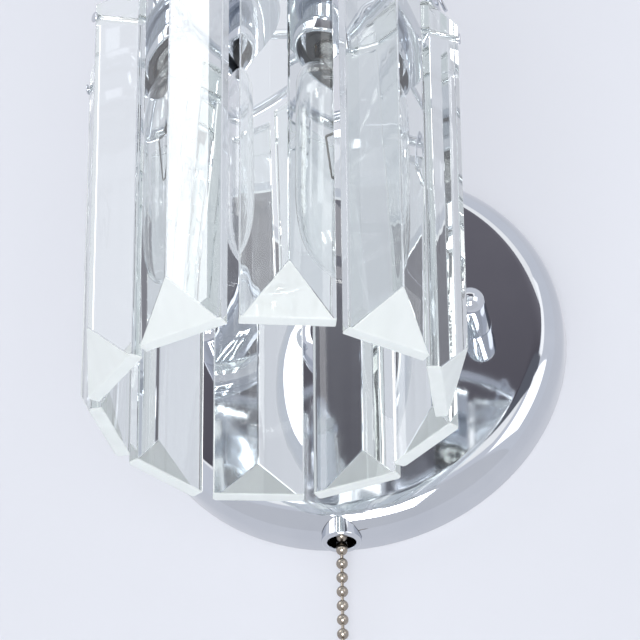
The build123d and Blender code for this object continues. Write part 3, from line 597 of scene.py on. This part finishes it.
class SCONCE_OT_wall_plate(bpy.types.Operator):
    """Turn the chromed wall plate, and bore it for the arm, the studs and the collar"""

    bl_idname = "sconce.wall_plate"
    bl_label = "Wall plate"

    def execute(self, context):
        rounding = context.scene.sconce_sizes.plate_round
        foot_round = 0.3 * MM
        stud_r = 2.0 * MM
        stud_cut = 6 * MM
        collar_cut = 10 * MM
        neck_cut = 8 * MM
        outer = PLATE_R
        inner = PLATE_R - SHEET
        arm_hole = ARM_R + FIT
        face = -PLATE_FACE_Y
        outline = [
            (arm_hole, face),
            (outer, face),
            (outer, 0),
            (inner, 0),
            (inner, face - SHEET),
            (arm_hole, face - SHEET),
            (arm_hole, face),
        ]
        corners = [
            ((outer, face), rounding, 24),
            ((inner, face - SHEET), rounding - SHEET, 16),
            ((outer, 0), foot_round, 3),
        ]
        plate = turned(outline, (0, 0, 0), TO_ROOM, 192, corners)
        stud_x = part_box("plate_studs")[1].x - stud_r
        seat = COLLAR_AT + UP * COLLAR_SEAT_Z
        bored(
            plate,
            [
                ((stud_x, PLATE_FACE_Y, 0), TO_WALL, stud_r + FIT, stud_cut),
                ((-stud_x, PLATE_FACE_Y, 0), TO_WALL, stud_r + FIT, stud_cut),
                (seat - UP * collar_cut / 2, UP, COLLAR_R + FIT, collar_cut),
                (seat, UP, COLLAR_NECK_R + FIT, neck_cut),
            ],
        )
        finish(plate, "wall_plate", "back_plate")
        return {"FINISHED"}


class SCONCE_OT_cap_nuts(bpy.types.Operator):
    """Turn the two domed nuts that hold the plate"""

    bl_idname = "sconce.cap_nuts"
    bl_label = "Domed nuts"

    def execute(self, context):
        low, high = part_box("cap_nuts")
        radius = (high.z - low.z) / 2
        tall = high.y - low.y
        # The dome takes almost the whole radius, so that its end stays clear of the axis.
        dome_r = radius * 0.999
        foot_round = 0.35 * MM
        outline = [(0, tall), (radius, tall), (radius, 0), (0, 0)]
        corners = [((radius, tall), dome_r, 16), ((radius, 0), foot_round, 3)]
        nuts = []
        for side in (-1, 1):
            at = (side * (high.x - radius), PLATE_FACE_Y, 0)
            nuts.append(turned(outline, at, TO_ROOM, 64, corners))
        finish(joined(nuts), "domed_nuts", "cap_nuts")
        return {"FINISHED"}


class SCONCE_OT_arm(bpy.types.Operator):
    """Bend the tube from the plate to the cup, and turn the flange at its foot"""

    bl_idname = "sconce.arm"
    bl_label = "Arm and flange"

    def execute(self, context):
        first_bend_y = -40 * MM
        second_bend_y = -64 * MM
        bend_r = 24 * MM
        bends = [(0, first_bend_y, 0), (0, second_bend_y, ARM_UPPER_Z)]
        points = [(0, ARM_HIGH.y, 0), *bends, (0, ARM_LOW.y, ARM_UPPER_Z)]
        tube = wire(points, [(bend, bend_r, 24) for bend in bends], ARM_R, 48)
        finish(tube, "arm_bend", "arm_tube")

        low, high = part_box("arm_flange")
        wide = high.x
        tall = high.y - low.y
        rim_round = 5 * MM
        foot_round = 0.3 * MM
        outline = [(ARM_R, 0), (wide, 0), (wide, tall), (ARM_R, tall), (ARM_R, 0)]
        corners = [((wide, tall), rim_round, 16), ((wide, 0), foot_round, 3)]
        flange = turned(outline, (0, PLATE_FACE_Y, 0), TO_ROOM, 96, corners)
        finish(flange, "arm_foot", "arm_flange")
        return {"FINISHED"}


class SCONCE_OT_cup(bpy.types.Operator):
    """Turn the cup over the lamp, its cap and its finial"""

    bl_idname = "sconce.cup"
    bl_label = "Cup, cap and finial"

    def execute(self, context):
        foot = CUP_LOW.z
        top = CUP_HIGH.z
        rim_r = (CUP_HIGH.x - CUP_LOW.x) / 2
        rim_inner = rim_r - SHEET
        neck_inner = CUP_NECK_R - SHEET
        shoulder = foot + 5.6 * MM
        roof = shoulder - 0.5 * MM
        arm_cut = 8 * MM
        outline = [
            (rim_inner, foot),
            (rim_r, foot),
            (rim_r, shoulder),
            (CUP_NECK_R, shoulder),
            (CUP_NECK_R, top),
            (neck_inner, top),
            (neck_inner, roof),
            (rim_inner, roof),
            (rim_inner, foot),
        ]
        corners = [
            ((rim_r, shoulder), 2.4 * MM, 10),
            ((rim_inner, roof), 2.0 * MM, 8),
            ((rim_r, foot), 0.4 * MM, 4),
        ]
        cup = turned(outline, SHADE_AT, UP, 96, corners)
        bored(cup, [((0, SHADE_Y + CUP_NECK_R, ARM_UPPER_Z), TO_WALL, ARM_R, arm_cut)])
        finish(cup, "cup", "lamp_cup")

        low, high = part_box("cup_cap")
        dome_top = top + 5 * MM
        dome_round = 4.6 * MM
        outline = [
            (0, low.z),
            (neck_inner, low.z),
            (neck_inner, top),
            (CUP_NECK_R, top),
            (CUP_NECK_R, dome_top),
            (0, dome_top),
        ]
        cap = turned(outline, SHADE_AT, UP, 96, [((CUP_NECK_R, dome_top), dome_round, 14)])

        # The finial: a ball on a short neck that is sunk into the dome.
        ball_r = 3 * MM
        neck_r = 1.6 * MM
        neck_foot = dome_top - 0.6 * MM
        ball_start = radians(-58)  # where the ball meets its neck, from its widest
        ball_steps = 14
        outline = [(0, neck_foot), (neck_r, neck_foot)]
        for step in range(ball_steps + 1):
            angle = ball_start + (pi / 2 - ball_start) * step / ball_steps
            outline.append((ball_r * cos(angle), high.z - ball_r + ball_r * sin(angle)))
        finial = turned(outline, SHADE_AT, UP, 48)
        finish(joined([cap, finial]), "cup_top", "cup_cap")
        return {"FINISHED"}


class SCONCE_OT_carrier(bpy.types.Operator):
    """Build the spoked ring that carries the crystals, and the ring that locks it"""

    bl_idname = "sconce.carrier"
    bl_label = "Crystal ring"

    def execute(self, context):
        ring_r = (RING_HIGH.x - RING_LOW.x) / 2 - RING_WIRE_R
        hub_r = 20 * MM
        spoke_r = 1.3 * MM
        spokes = 5
        edge_round = 0.6 * MM
        under_round = 0.3 * MM
        deselect()
        bpy.ops.mesh.primitive_torus_add(
            location=(0, SHADE_Y, RING_Z),
            major_radius=ring_r,
            minor_radius=RING_WIRE_R,
            major_segments=160,
            minor_segments=20,
        )
        parts = [bpy.context.object]
        outline = [
            (CUP_NECK_R, RING_LOW.z),
            (hub_r, RING_LOW.z),
            (hub_r, RING_HIGH.z),
            (CUP_NECK_R, RING_HIGH.z),
            (CUP_NECK_R, RING_LOW.z),
        ]
        corners = [((hub_r, RING_LOW.z), edge_round, 4), ((hub_r, RING_HIGH.z), edge_round, 4)]
        parts.append(turned(outline, SHADE_AT, UP, 96, corners))
        # The first spoke runs midway between two crystals, and so do the others.
        first = hang_azimuth(CRYSTALS[0]) + pi / len(CRYSTALS)
        for spoke in range(spokes):
            angle = first + 2 * pi / spokes * spoke
            out = Vector((sin(angle), -cos(angle), 0))
            ends = [SHADE_AT + UP * RING_Z + out * reach for reach in (hub_r - RING_WIRE_R, ring_r)]
            parts.append(wire([tuple(end) for end in ends], [], spoke_r, 24))
        finish(joined(parts), "crystal_ring", "carrier_ring")

        low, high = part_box("lock_ring")
        outer = (high.x - low.x) / 2
        outline = [
            (CUP_NECK_R, low.z),
            (outer, low.z),
            (outer, high.z),
            (CUP_NECK_R, high.z),
            (CUP_NECK_R, low.z),
        ]
        corners = [((outer, high.z), edge_round, 4), ((outer, low.z), under_round, 3)]
        ring = turned(outline, SHADE_AT, UP, 96, corners)
        finish(ring, "locking_ring", "lock_ring")
        return {"FINISHED"}


class SCONCE_OT_crystals(bpy.types.Operator):
    """Cut one crystal bar, and hang a copy of it at each place round the ring"""

    bl_idname = "sconce.crystals"
    bl_label = "Crystal bars"

    def execute(self, context):
        half = 11.5 * MM
        side = 3.0 * MM  # depth of the plain side walls
        land = 3.4 * MM  # flat strip left at the foot
        rise = 12.2 * MM  # how much higher the ridge ends than the back
        hole_cut = 24 * MM
        down = -0.2  # the faces of the ground end look down at least this much
        # One bar, hanging on the Z axis, its flat back towards +Y and its ridge towards -Y.
        outline = [
            (-half, BAR_BACK),
            (half, BAR_BACK),
            (half, BAR_BACK - side),
            (0, BAR_BACK - BAR_DEPTH),
            (-half, BAR_BACK - side),
        ]
        bar = start_line([(x, y, BAR_LOW.z) for x, y in outline])
        bpy.ops.mesh.select_all(action="SELECT")
        bpy.ops.mesh.edge_face_add()
        tall = BAR_HIGH.z - BAR_LOW.z
        bpy.ops.mesh.extrude_region_move(TRANSFORM_OT_translate={"value": (0, 0, tall)})
        bpy.ops.mesh.select_all(action="SELECT")
        bpy.ops.mesh.normals_make_consistent(inside=False)
        slope = Vector((0, -rise, -(BAR_DEPTH - land))).normalized()
        bpy.ops.mesh.bisect(
            plane_co=(0, BAR_BACK - land, BAR_LOW.z),
            plane_no=tuple(slope),
            use_fill=True,
            clear_outer=True,
        )
        bpy.ops.object.mode_set(mode="OBJECT")
        soften(bar, context.scene.sconce_sizes.edge_polish, 3, 12)
        bored(bar, [((0, 0, BAR_HOLE_Z), TO_WALL, BAR_HOLE_R, hole_cut)])
        for copy, crystal in hung_copies(bar):
            body = swing_joint(crystal)["child"]
            finish(copy, "bar_" + crystal[-2:], crystal, "crystal", body, smooth=8)
            copy.data.materials.append(finish_named("crystal_end"))
            for face in copy.data.polygons:
                if face.normal.z < down:
                    face.material_index = 1
        return {"FINISHED"}


class SCONCE_OT_hooks(bpy.types.Operator):
    """Bend one headed wire hook, and hang a copy of it from the ring for each crystal"""

    bl_idname = "sconce.hooks"
    bl_label = "Wire hooks"

    def execute(self, context):
        wire_r = 0.5 * MM
        bend_r = 1.2 * MM
        shoulder_drop = 5.3 * MM  # from the ring's centre down to the hook's shoulder
        end_drop = 2.0 * MM  # from the ring's centre down to the hook's open end
        back_gap = 0.5 * MM
        head_gap = 0.1 * MM
        head_r = 1.4 * MM
        head_thickness = 0.5 * MM
        sunk = 0.2 * MM  # how far the wire runs into its head
        eye = RING_WIRE_R + HANG_GAP + wire_r
        leg = BAR_BACK + back_gap + wire_r
        front = BAR_DEPTH - BAR_BACK + head_gap
        hole_z = BAR_HOLE_Z + BAR_HOLE_R - wire_r - HANG_GAP
        # The wire's straight runs touch a circle of radius eye round the ring, and meet at its apex.
        reach = sqrt(leg**2 + shoulder_drop**2)
        apex = leg * tan(atan2(shoulder_drop, leg) + asin(eye / reach)) - shoulder_drop
        open_end = leg * (apex + end_drop) / (apex + shoulder_drop)
        # The hook is bent on the Z axis, with the crystal's ridge towards -Y.
        points = [
            (0, -front - sunk, hole_z),
            (0, leg, hole_z),
            (0, leg, RING_Z - shoulder_drop),
            (0, 0, RING_Z + apex),
            (0, -open_end, RING_Z - end_drop),
        ]
        corners = [(points[1], bend_r, 6), (points[2], bend_r, 6), (points[3], eye, 14)]
        shank = wire(points, corners, wire_r, 16)
        outline = [(0, 0), (head_r, 0), (head_r, head_thickness), (0, head_thickness)]
        rounds = [(outline[2], 0.35 * MM, 4), (outline[1], 0.1 * MM, 2)]
        head = turned(outline, (0, -front, hole_z), TO_ROOM, 32, rounds)
        for copy, crystal in hung_copies(joined([shank, head])):
            tag = crystal[-2:]
            body = swing_joint(crystal)["child"]
            finish(copy, "hook_" + tag, "bail_" + tag, body=body, smooth=60)
        return {"FINISHED"}


class SCONCE_OT_collar(bpy.types.Operator):
    """Turn the collar that the pull chain leaves the plate through"""

    bl_idname = "sconce.collar"
    bl_label = "Chain collar"

    def execute(self, context):
        bore = 3.9 * MM
        outer_round = 0.7 * MM
        mouth_round = 0.5 * MM
        foot = COLLAR_LOW.z
        top = COLLAR_HIGH.z
        outline = [
            (bore, foot),
            (COLLAR_R, foot),
            (COLLAR_R, COLLAR_SEAT_Z),
            (COLLAR_NECK_R, COLLAR_SEAT_Z),
            (COLLAR_NECK_R, top),
            (bore, top),
            (bore, foot),
        ]
        corners = [((COLLAR_R, foot), outer_round, 5), ((bore, foot), mouth_round, 4)]
        collar = turned(outline, COLLAR_AT, UP, 64, corners)
        finish(collar, "chain_collar", "collar")
        return {"FINISHED"}


def chain_path(points):
    """Points of the smooth curve that the chain hangs on, read from its NURBS spline, from its top."""
    curve = bpy.data.curves.new("chain_route", "CURVE")
    curve.dimensions = "3D"
    spline = curve.splines.new("NURBS")
    spline.points.add(len(points) - 1)
    for point, place in zip(spline.points, points):
        point.co = (*place, 1)
    spline.order_u = 3
    spline.use_endpoint_u = True
    spline.resolution_u = 24
    route = bpy.data.objects.new("chain_route", curve)
    bpy.context.scene.collection.objects.link(route)
    bpy.context.view_layer.update()
    mesh = bpy.data.meshes.new_from_object(route)
    path = [vertex.co.copy() for vertex in mesh.vertices]
    bpy.data.objects.remove(route)
    top = Vector(points[0])
    if (path[0] - top).length > (path[-1] - top).length:
        path.reverse()
    return path


def along(path, distance):
    """The point that distance along a path."""
    for before, after in zip(path, path[1:]):
        step = (after - before).length
        if distance <= step:
            return before.lerp(after, distance / step)
        distance -= step
    return path[-1]


class SCONCE_OT_chain(bpy.types.Operator):
    """String the bead chain, and hang its weight"""

    bl_idname = "sconce.chain"
    bl_label = "Pull chain"

    def execute(self, context):
        sides = context.scene.sconce_sizes.bead_sides
        bead_r = 1.6 * MM
        link_r = 0.45 * MM
        beads = 29
        top = CHAIN_HIGH.z
        length = top - CHAIN_LOW.z
        # The route's points, given as drops from the chain's top. It hangs plumb.
        drops = (0, 8 * MM, 45 * MM, 90 * MM, length)
        path = chain_path([(CHAIN_AT.x, CHAIN_AT.y, top - drop) for drop in drops])
        deselect()
        bpy.ops.mesh.primitive_uv_sphere_add(segments=sides, ring_count=sides * 2 // 3, radius=bead_r)
        bead = bpy.context.object
        parts = []
        for step in range(beads):
            only(bead)
            bpy.ops.object.duplicate()
            copy = bpy.context.object
            copy.location = along(path, (step + 0.5) * length / beads)
            parts.append(copy)
        bpy.data.objects.remove(bead)
        deselect()
        bpy.ops.mesh.primitive_cylinder_add(
            vertices=12, radius=link_r, depth=length, location=CHAIN_AT + UP * (top - length / 2)
        )
        parts.append(bpy.context.object)
        chain = finish(joined(parts), "bead_chain", "pull_chain", "nickel", "pull", 40)

        low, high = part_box("pull_weight")
        wide = (high.x - low.x) / 2
        neck_r = 2.4 * MM
        brim = low.z + 3.4 * MM
        # Down its side, as radius and drop from its top, the bell flares more and more.
        flare = [(2.7 * MM, 3 * MM), (3.3 * MM, 8 * MM), (4.4 * MM, 13.5 * MM)]
        outline = [
            (0, high.z),
            (neck_r, high.z),
            *[(radius, high.z - drop) for radius, drop in flare],
            (wide, brim),
            (wide, low.z),
            (0, low.z),
        ]
        corners = [((wide, low.z), 2.4 * MM, 8), ((neck_r, high.z), 0.5 * MM, 3)]
        bell = turned(outline, CHAIN_AT, UP, 48, corners)
        bell = finish(bell, "bell_weight", "pull_weight", "nickel", "pull", 40)
        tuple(path[0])
        return {"FINISHED"}


class SCONCE_OT_carried_over(bpy.types.Operator):
    """Finish the lamp, the wiring and the switch parts, whose frame shapes stay"""

    bl_idname = "sconce.carried_over"
    bl_label = "Lamp, wiring and switch"

    def execute(self, context):
        for key, nodes in CARRIED_OVER.items():
            for name in nodes:
                for holder in NODES[name].material_slots:
                    holder.material = finish_named(key)
        return {"FINISHED"}


class SCONCE_OT_spring(bpy.types.Operator):
    """Copy the switch's return spring from its frame node and give it its finish; the real spring shortens as
    the lever comes down on it
    """

    bl_idname = "sconce.spring"
    bl_label = "Return spring"

    def execute(self, context):
        # The lever's end comes down 4 mm on the chain's line, and a little more where it tilts.
        deselect()
        # The frame's own node is left alone: this is a copy of it, with a mesh of its own.
        piece = NODES["return_spring"].copy()
        piece.data = piece.data.copy()
        piece.parent = None
        for key in list(piece.keys()):
            del piece[key]
        context.scene.collection.objects.link(piece)
        finish(piece, "wound_spring", "return_spring", "zinc", smooth=60)
        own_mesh(piece)
        return {"FINISHED"}


# ---------------------------------------------------------------- wall, light and camera


def stage_material(name, paint, shown_colour, glass_colour, evenness):
    """Matt paint that shows an even tone to mirrors and glass, and in part to the camera.

    What is left of the paint's own light keeps the object's soft shadow. Seen from behind, the paint
    is clear, so that the back of the object shows.
    """
    material, shader = new_material(name, Base_Color=paint, Roughness=0.9)
    path = add_node(material, "ShaderNodeLightPath").outputs
    camera_share = {"operation": "MULTIPLY", 1: evenness}
    larger = {"operation": "MAXIMUM"}
    seen = add_node(material, "ShaderNodeMath", camera_share, path["Is Camera Ray"])
    mirrored = add_node(
        material, "ShaderNodeMath", larger, path["Is Glossy Ray"], path["Is Transmission Ray"]
    )
    share = add_node(material, "ShaderNodeMath", larger, seen.outputs[0], mirrored.outputs[0])
    tones = {"data_type": "RGBA", MIX_LOW: linear(shown_colour), MIX_HIGH: linear(glass_colour)}
    through = add_node(material, "ShaderNodeMix", tones, path["Is Transmission Ray"])
    tone = add_node(material, "ShaderNodeEmission", {"Strength": 1.0}, through.outputs[MIX_RESULT])
    front = add_node(
        material, "ShaderNodeMixShader", None, share.outputs[0], shader.outputs[0], tone.outputs[0]
    )
    side = add_node(material, "ShaderNodeNewGeometry")
    clear = add_node(material, "ShaderNodeBsdfTransparent")
    both = add_node(
        material, "ShaderNodeMixShader", None, side.outputs["Backfacing"], front.outputs[0], clear.outputs[0]
    )
    show(material, both.outputs[0])
    return material


def stage_plane(name, place, rotation, material):
    """A wide painted plane of the stage."""
    deselect()
    bpy.ops.mesh.primitive_plane_add(size=6, location=place, rotation=rotation)
    piece = bpy.context.object
    piece.name = name
    piece.data.materials.append(material)
    piece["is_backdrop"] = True


def glow(name, colour, strength, upper_colour=None, heights=None):
    """An emission for a card: one colour, or one that turns to another between two heights."""
    material = bpy.data.materials.new(name)
    material.use_nodes = True
    tree = material.node_tree
    tree.nodes.remove(tree.nodes["Principled BSDF"])
    light = add_node(material, "ShaderNodeEmission", {"Color": linear(colour), "Strength": strength})
    if upper_colour:
        at = add_node(material, "ShaderNodeTexCoord")
        parts = add_node(material, "ShaderNodeSeparateXYZ", Vector=at.outputs["Object"])
        between = {"From Min": heights[0], "From Max": heights[1]}
        height = add_node(material, "ShaderNodeMapRange", between, parts.outputs["Z"])
        tones = {"data_type": "RGBA", MIX_LOW: linear(colour), MIX_HIGH: linear(upper_colour)}
        tone = add_node(material, "ShaderNodeMix", tones, height.outputs["Result"])
        link(material, tone.outputs[MIX_RESULT], light, "Color")
    show(material, light.outputs[0])
    return material


def card(name, centre, facing, width, height, material):
    """A flat rectangle that faces a point, seen only in reflections and through glass."""
    deselect()
    bpy.ops.mesh.primitive_plane_add(size=1, location=centre)
    piece = bpy.context.object
    piece.rotation_euler = (Vector(facing) - Vector(centre)).to_track_quat("Z", "Y").to_euler()
    piece.scale = (width, height, 1)
    bpy.ops.object.transform_apply(location=True, rotation=True, scale=True)
    piece.name = name
    piece.data.materials.append(material)
    piece.visible_camera = False
    piece.visible_diffuse = False
    piece.visible_shadow = False
    piece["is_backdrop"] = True


def room_light(scene):
    """Even light from all round, and a set tone where the camera, mirrors and glass see the room."""
    world = bpy.data.worlds.new("Even room light")
    scene.world = world
    world.use_nodes = True
    lit = world.node_tree.nodes["Background"]
    lit.inputs["Color"].default_value = linear("#E9ECF2")
    lit.inputs["Strength"].default_value = scene.sconce_light.room
    shown = add_node(world, "ShaderNodeBackground", {"Color": linear("#E2E5EE"), "Strength": 1.0})
    path = add_node(world, "ShaderNodeLightPath").outputs
    larger = {"operation": "MAXIMUM"}
    mirrored = add_node(world, "ShaderNodeMath", larger, path["Is Glossy Ray"], path["Is Transmission Ray"])
    seen = add_node(world, "ShaderNodeMath", larger, mirrored.outputs[0], path["Is Camera Ray"])
    mix = add_node(world, "ShaderNodeMixShader", None, seen.outputs[0], lit.outputs[0], shown.outputs[0])
    show(world, mix.outputs[0])


def area_lamp(name, place, size, power):
    """A square lamp that shines at the sconce."""
    aim = Vector((0, -0.06, -0.02))
    deselect()
    bpy.ops.object.light_add(type="AREA", location=place)
    lamp = bpy.context.object
    lamp.name = name
    lamp.data.size = size
    lamp.data.energy = power
    lamp.rotation_euler = (aim - Vector(place)).to_track_quat("-Z", "Y").to_euler()


def photo_camera(scene):
    """The camera: low, a little to the right, far back with a long lens. It was fitted to the photo."""
    photo_width = 640
    focal_pixels = 3971.3
    place = (0.15683, -0.92860, -0.59415)
    yaw = radians(-10.158)
    pitch = radians(32.883)
    roll = radians(-0.539)
    data = bpy.data.cameras.new("camera")
    data.sensor_width = 36
    data.lens = data.sensor_width * focal_pixels / photo_width
    data.clip_start = 0.05
    data.clip_end = 30
    camera = bpy.data.objects.new("camera", data)
    scene.collection.objects.link(camera)
    camera.location = place
    forward = Vector((sin(yaw) * cos(pitch), cos(yaw) * cos(pitch), sin(pitch)))
    level = Vector((cos(yaw), -sin(yaw), 0))
    above = level.cross(forward)
    right = level * cos(roll) + above * sin(roll)
    up = above * cos(roll) - level * sin(roll)
    camera.rotation_mode = "QUATERNION"
    camera.rotation_quaternion = Matrix((right, up, -forward)).transposed().to_quaternion()
    scene.camera = camera


class SCONCE_OT_stage(bpy.types.Operator):
    """Set up the painted wall, the soft light and the camera"""

    bl_idname = "sconce.stage"
    bl_label = "Wall, light and camera"

    def execute(self, context):
        scene = context.scene
        scene.view_settings.view_transform = "Standard"

        behind = 0.3 * MM  # how far the wall's paint lies behind the sconce
        wall_paint = [*scene.sconce_light.wall, 1.0]
        paint = stage_material("Painted wall", wall_paint, "#E0E2EA", "#D3D6E0", 0.6)
        stage_plane("wall", (0, behind, 0), (pi / 2, 0, 0), paint)
        pale = stage_material("Pale floor", "#E2E3E6", "#D8DAE1", "#D0D3DA", 0.5)
        stage_plane("floor", (0, -3, -1.3), (0, 0, 0), pale)

        room_light(scene)
        area_lamp("Key", (-1.2, -1.2, 1.0), 1.0, 7)
        area_lamp("Fill", (1.4, -1.2, 0.1), 1.0, 4)
        area_lamp("Bounce", (0.1, -1.3, -1.0), 0.8, 20)

        # The cards stand for what the wall plate mirrors: a dark doorway in a bright wall.
        dark = glow("Dark doorway", "#55525A", 1.0, "#807D85", (0.95, 1.36))
        bright = glow("Bright wall", "#FFFFFF", 1.2)
        window = glow("Window", "#FFFFFF", 1.4)
        furniture = glow("Dark furniture", "#6C6E77", 1.0)
        card("dark_card", (-0.05, -1.80, 1.17), (-0.05, 0, 0), 2.4, 0.60, dark)
        card("low_card", (0.05, -1.82, 0.40), (0, 0, 0), 1.7, 0.80, bright)
        card("high_card", (0.0, -1.82, 1.85), (0, 0, 0), 2.4, 0.60, bright)
        card("right_card", (1.45, -1.75, 1.45), (0, 0, 0), 0.45, 1.0, window)
        card("shade_card", (0.76, -1.70, 0.71), (0.76, 0, 0.71), 1.32, 0.38, furniture)

        photo_camera(scene)
        return {"FINISHED"}


# ---------------------------------------------------------------- panel, registration and run


class SCONCE_PT_panel(bpy.types.Panel):
    """Lists the sconce's sizes and its pieces"""

    bl_idname = "SCONCE_PT_panel"
    bl_label = "Crystal Wall Sconce"
    bl_space_type = "VIEW_3D"
    bl_region_type = "UI"
    bl_category = "Sconce"

    def draw(self, context):
        layout = self.layout
        for group in (context.scene.sconce_sizes, context.scene.sconce_light):
            for name in group.bl_rna.properties.keys():
                if name not in ("rna_type", "name"):
                    layout.prop(group, name)
        for operator in OPERATORS:
            layout.operator(operator.bl_idname)


OPERATORS = (
    SCONCE_OT_stage,
    SCONCE_OT_chain,
    SCONCE_OT_wall_plate,
    SCONCE_OT_cap_nuts,
    SCONCE_OT_arm,
    SCONCE_OT_cup,
    SCONCE_OT_carrier,
    SCONCE_OT_crystals,
    SCONCE_OT_hooks,
    SCONCE_OT_collar,
    SCONCE_OT_carried_over,
    SCONCE_OT_spring,
)
CLASSES = (SconceSizes, SconceLight, *OPERATORS, SCONCE_PT_panel)


def register():
    for made in CLASSES:
        bpy.utils.register_class(made)
    bpy.types.Scene.sconce_sizes = PointerProperty(type=SconceSizes)
    bpy.types.Scene.sconce_light = PointerProperty(type=SconceLight)


def unregister():
    del bpy.types.Scene.sconce_light
    del bpy.types.Scene.sconce_sizes
    for made in reversed(CLASSES):
        bpy.utils.unregister_class(made)


def main():
    register()
    for operator in OPERATORS:
        group, name = operator.bl_idname.split(".")
        getattr(getattr(bpy.ops, group), name)()
    boxes = {"cad": CAD_BOX, "visual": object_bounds()}
    {name: [list(corner) for corner in box] for name, box in boxes.items()}


if __name__ == "__main__":
    main()
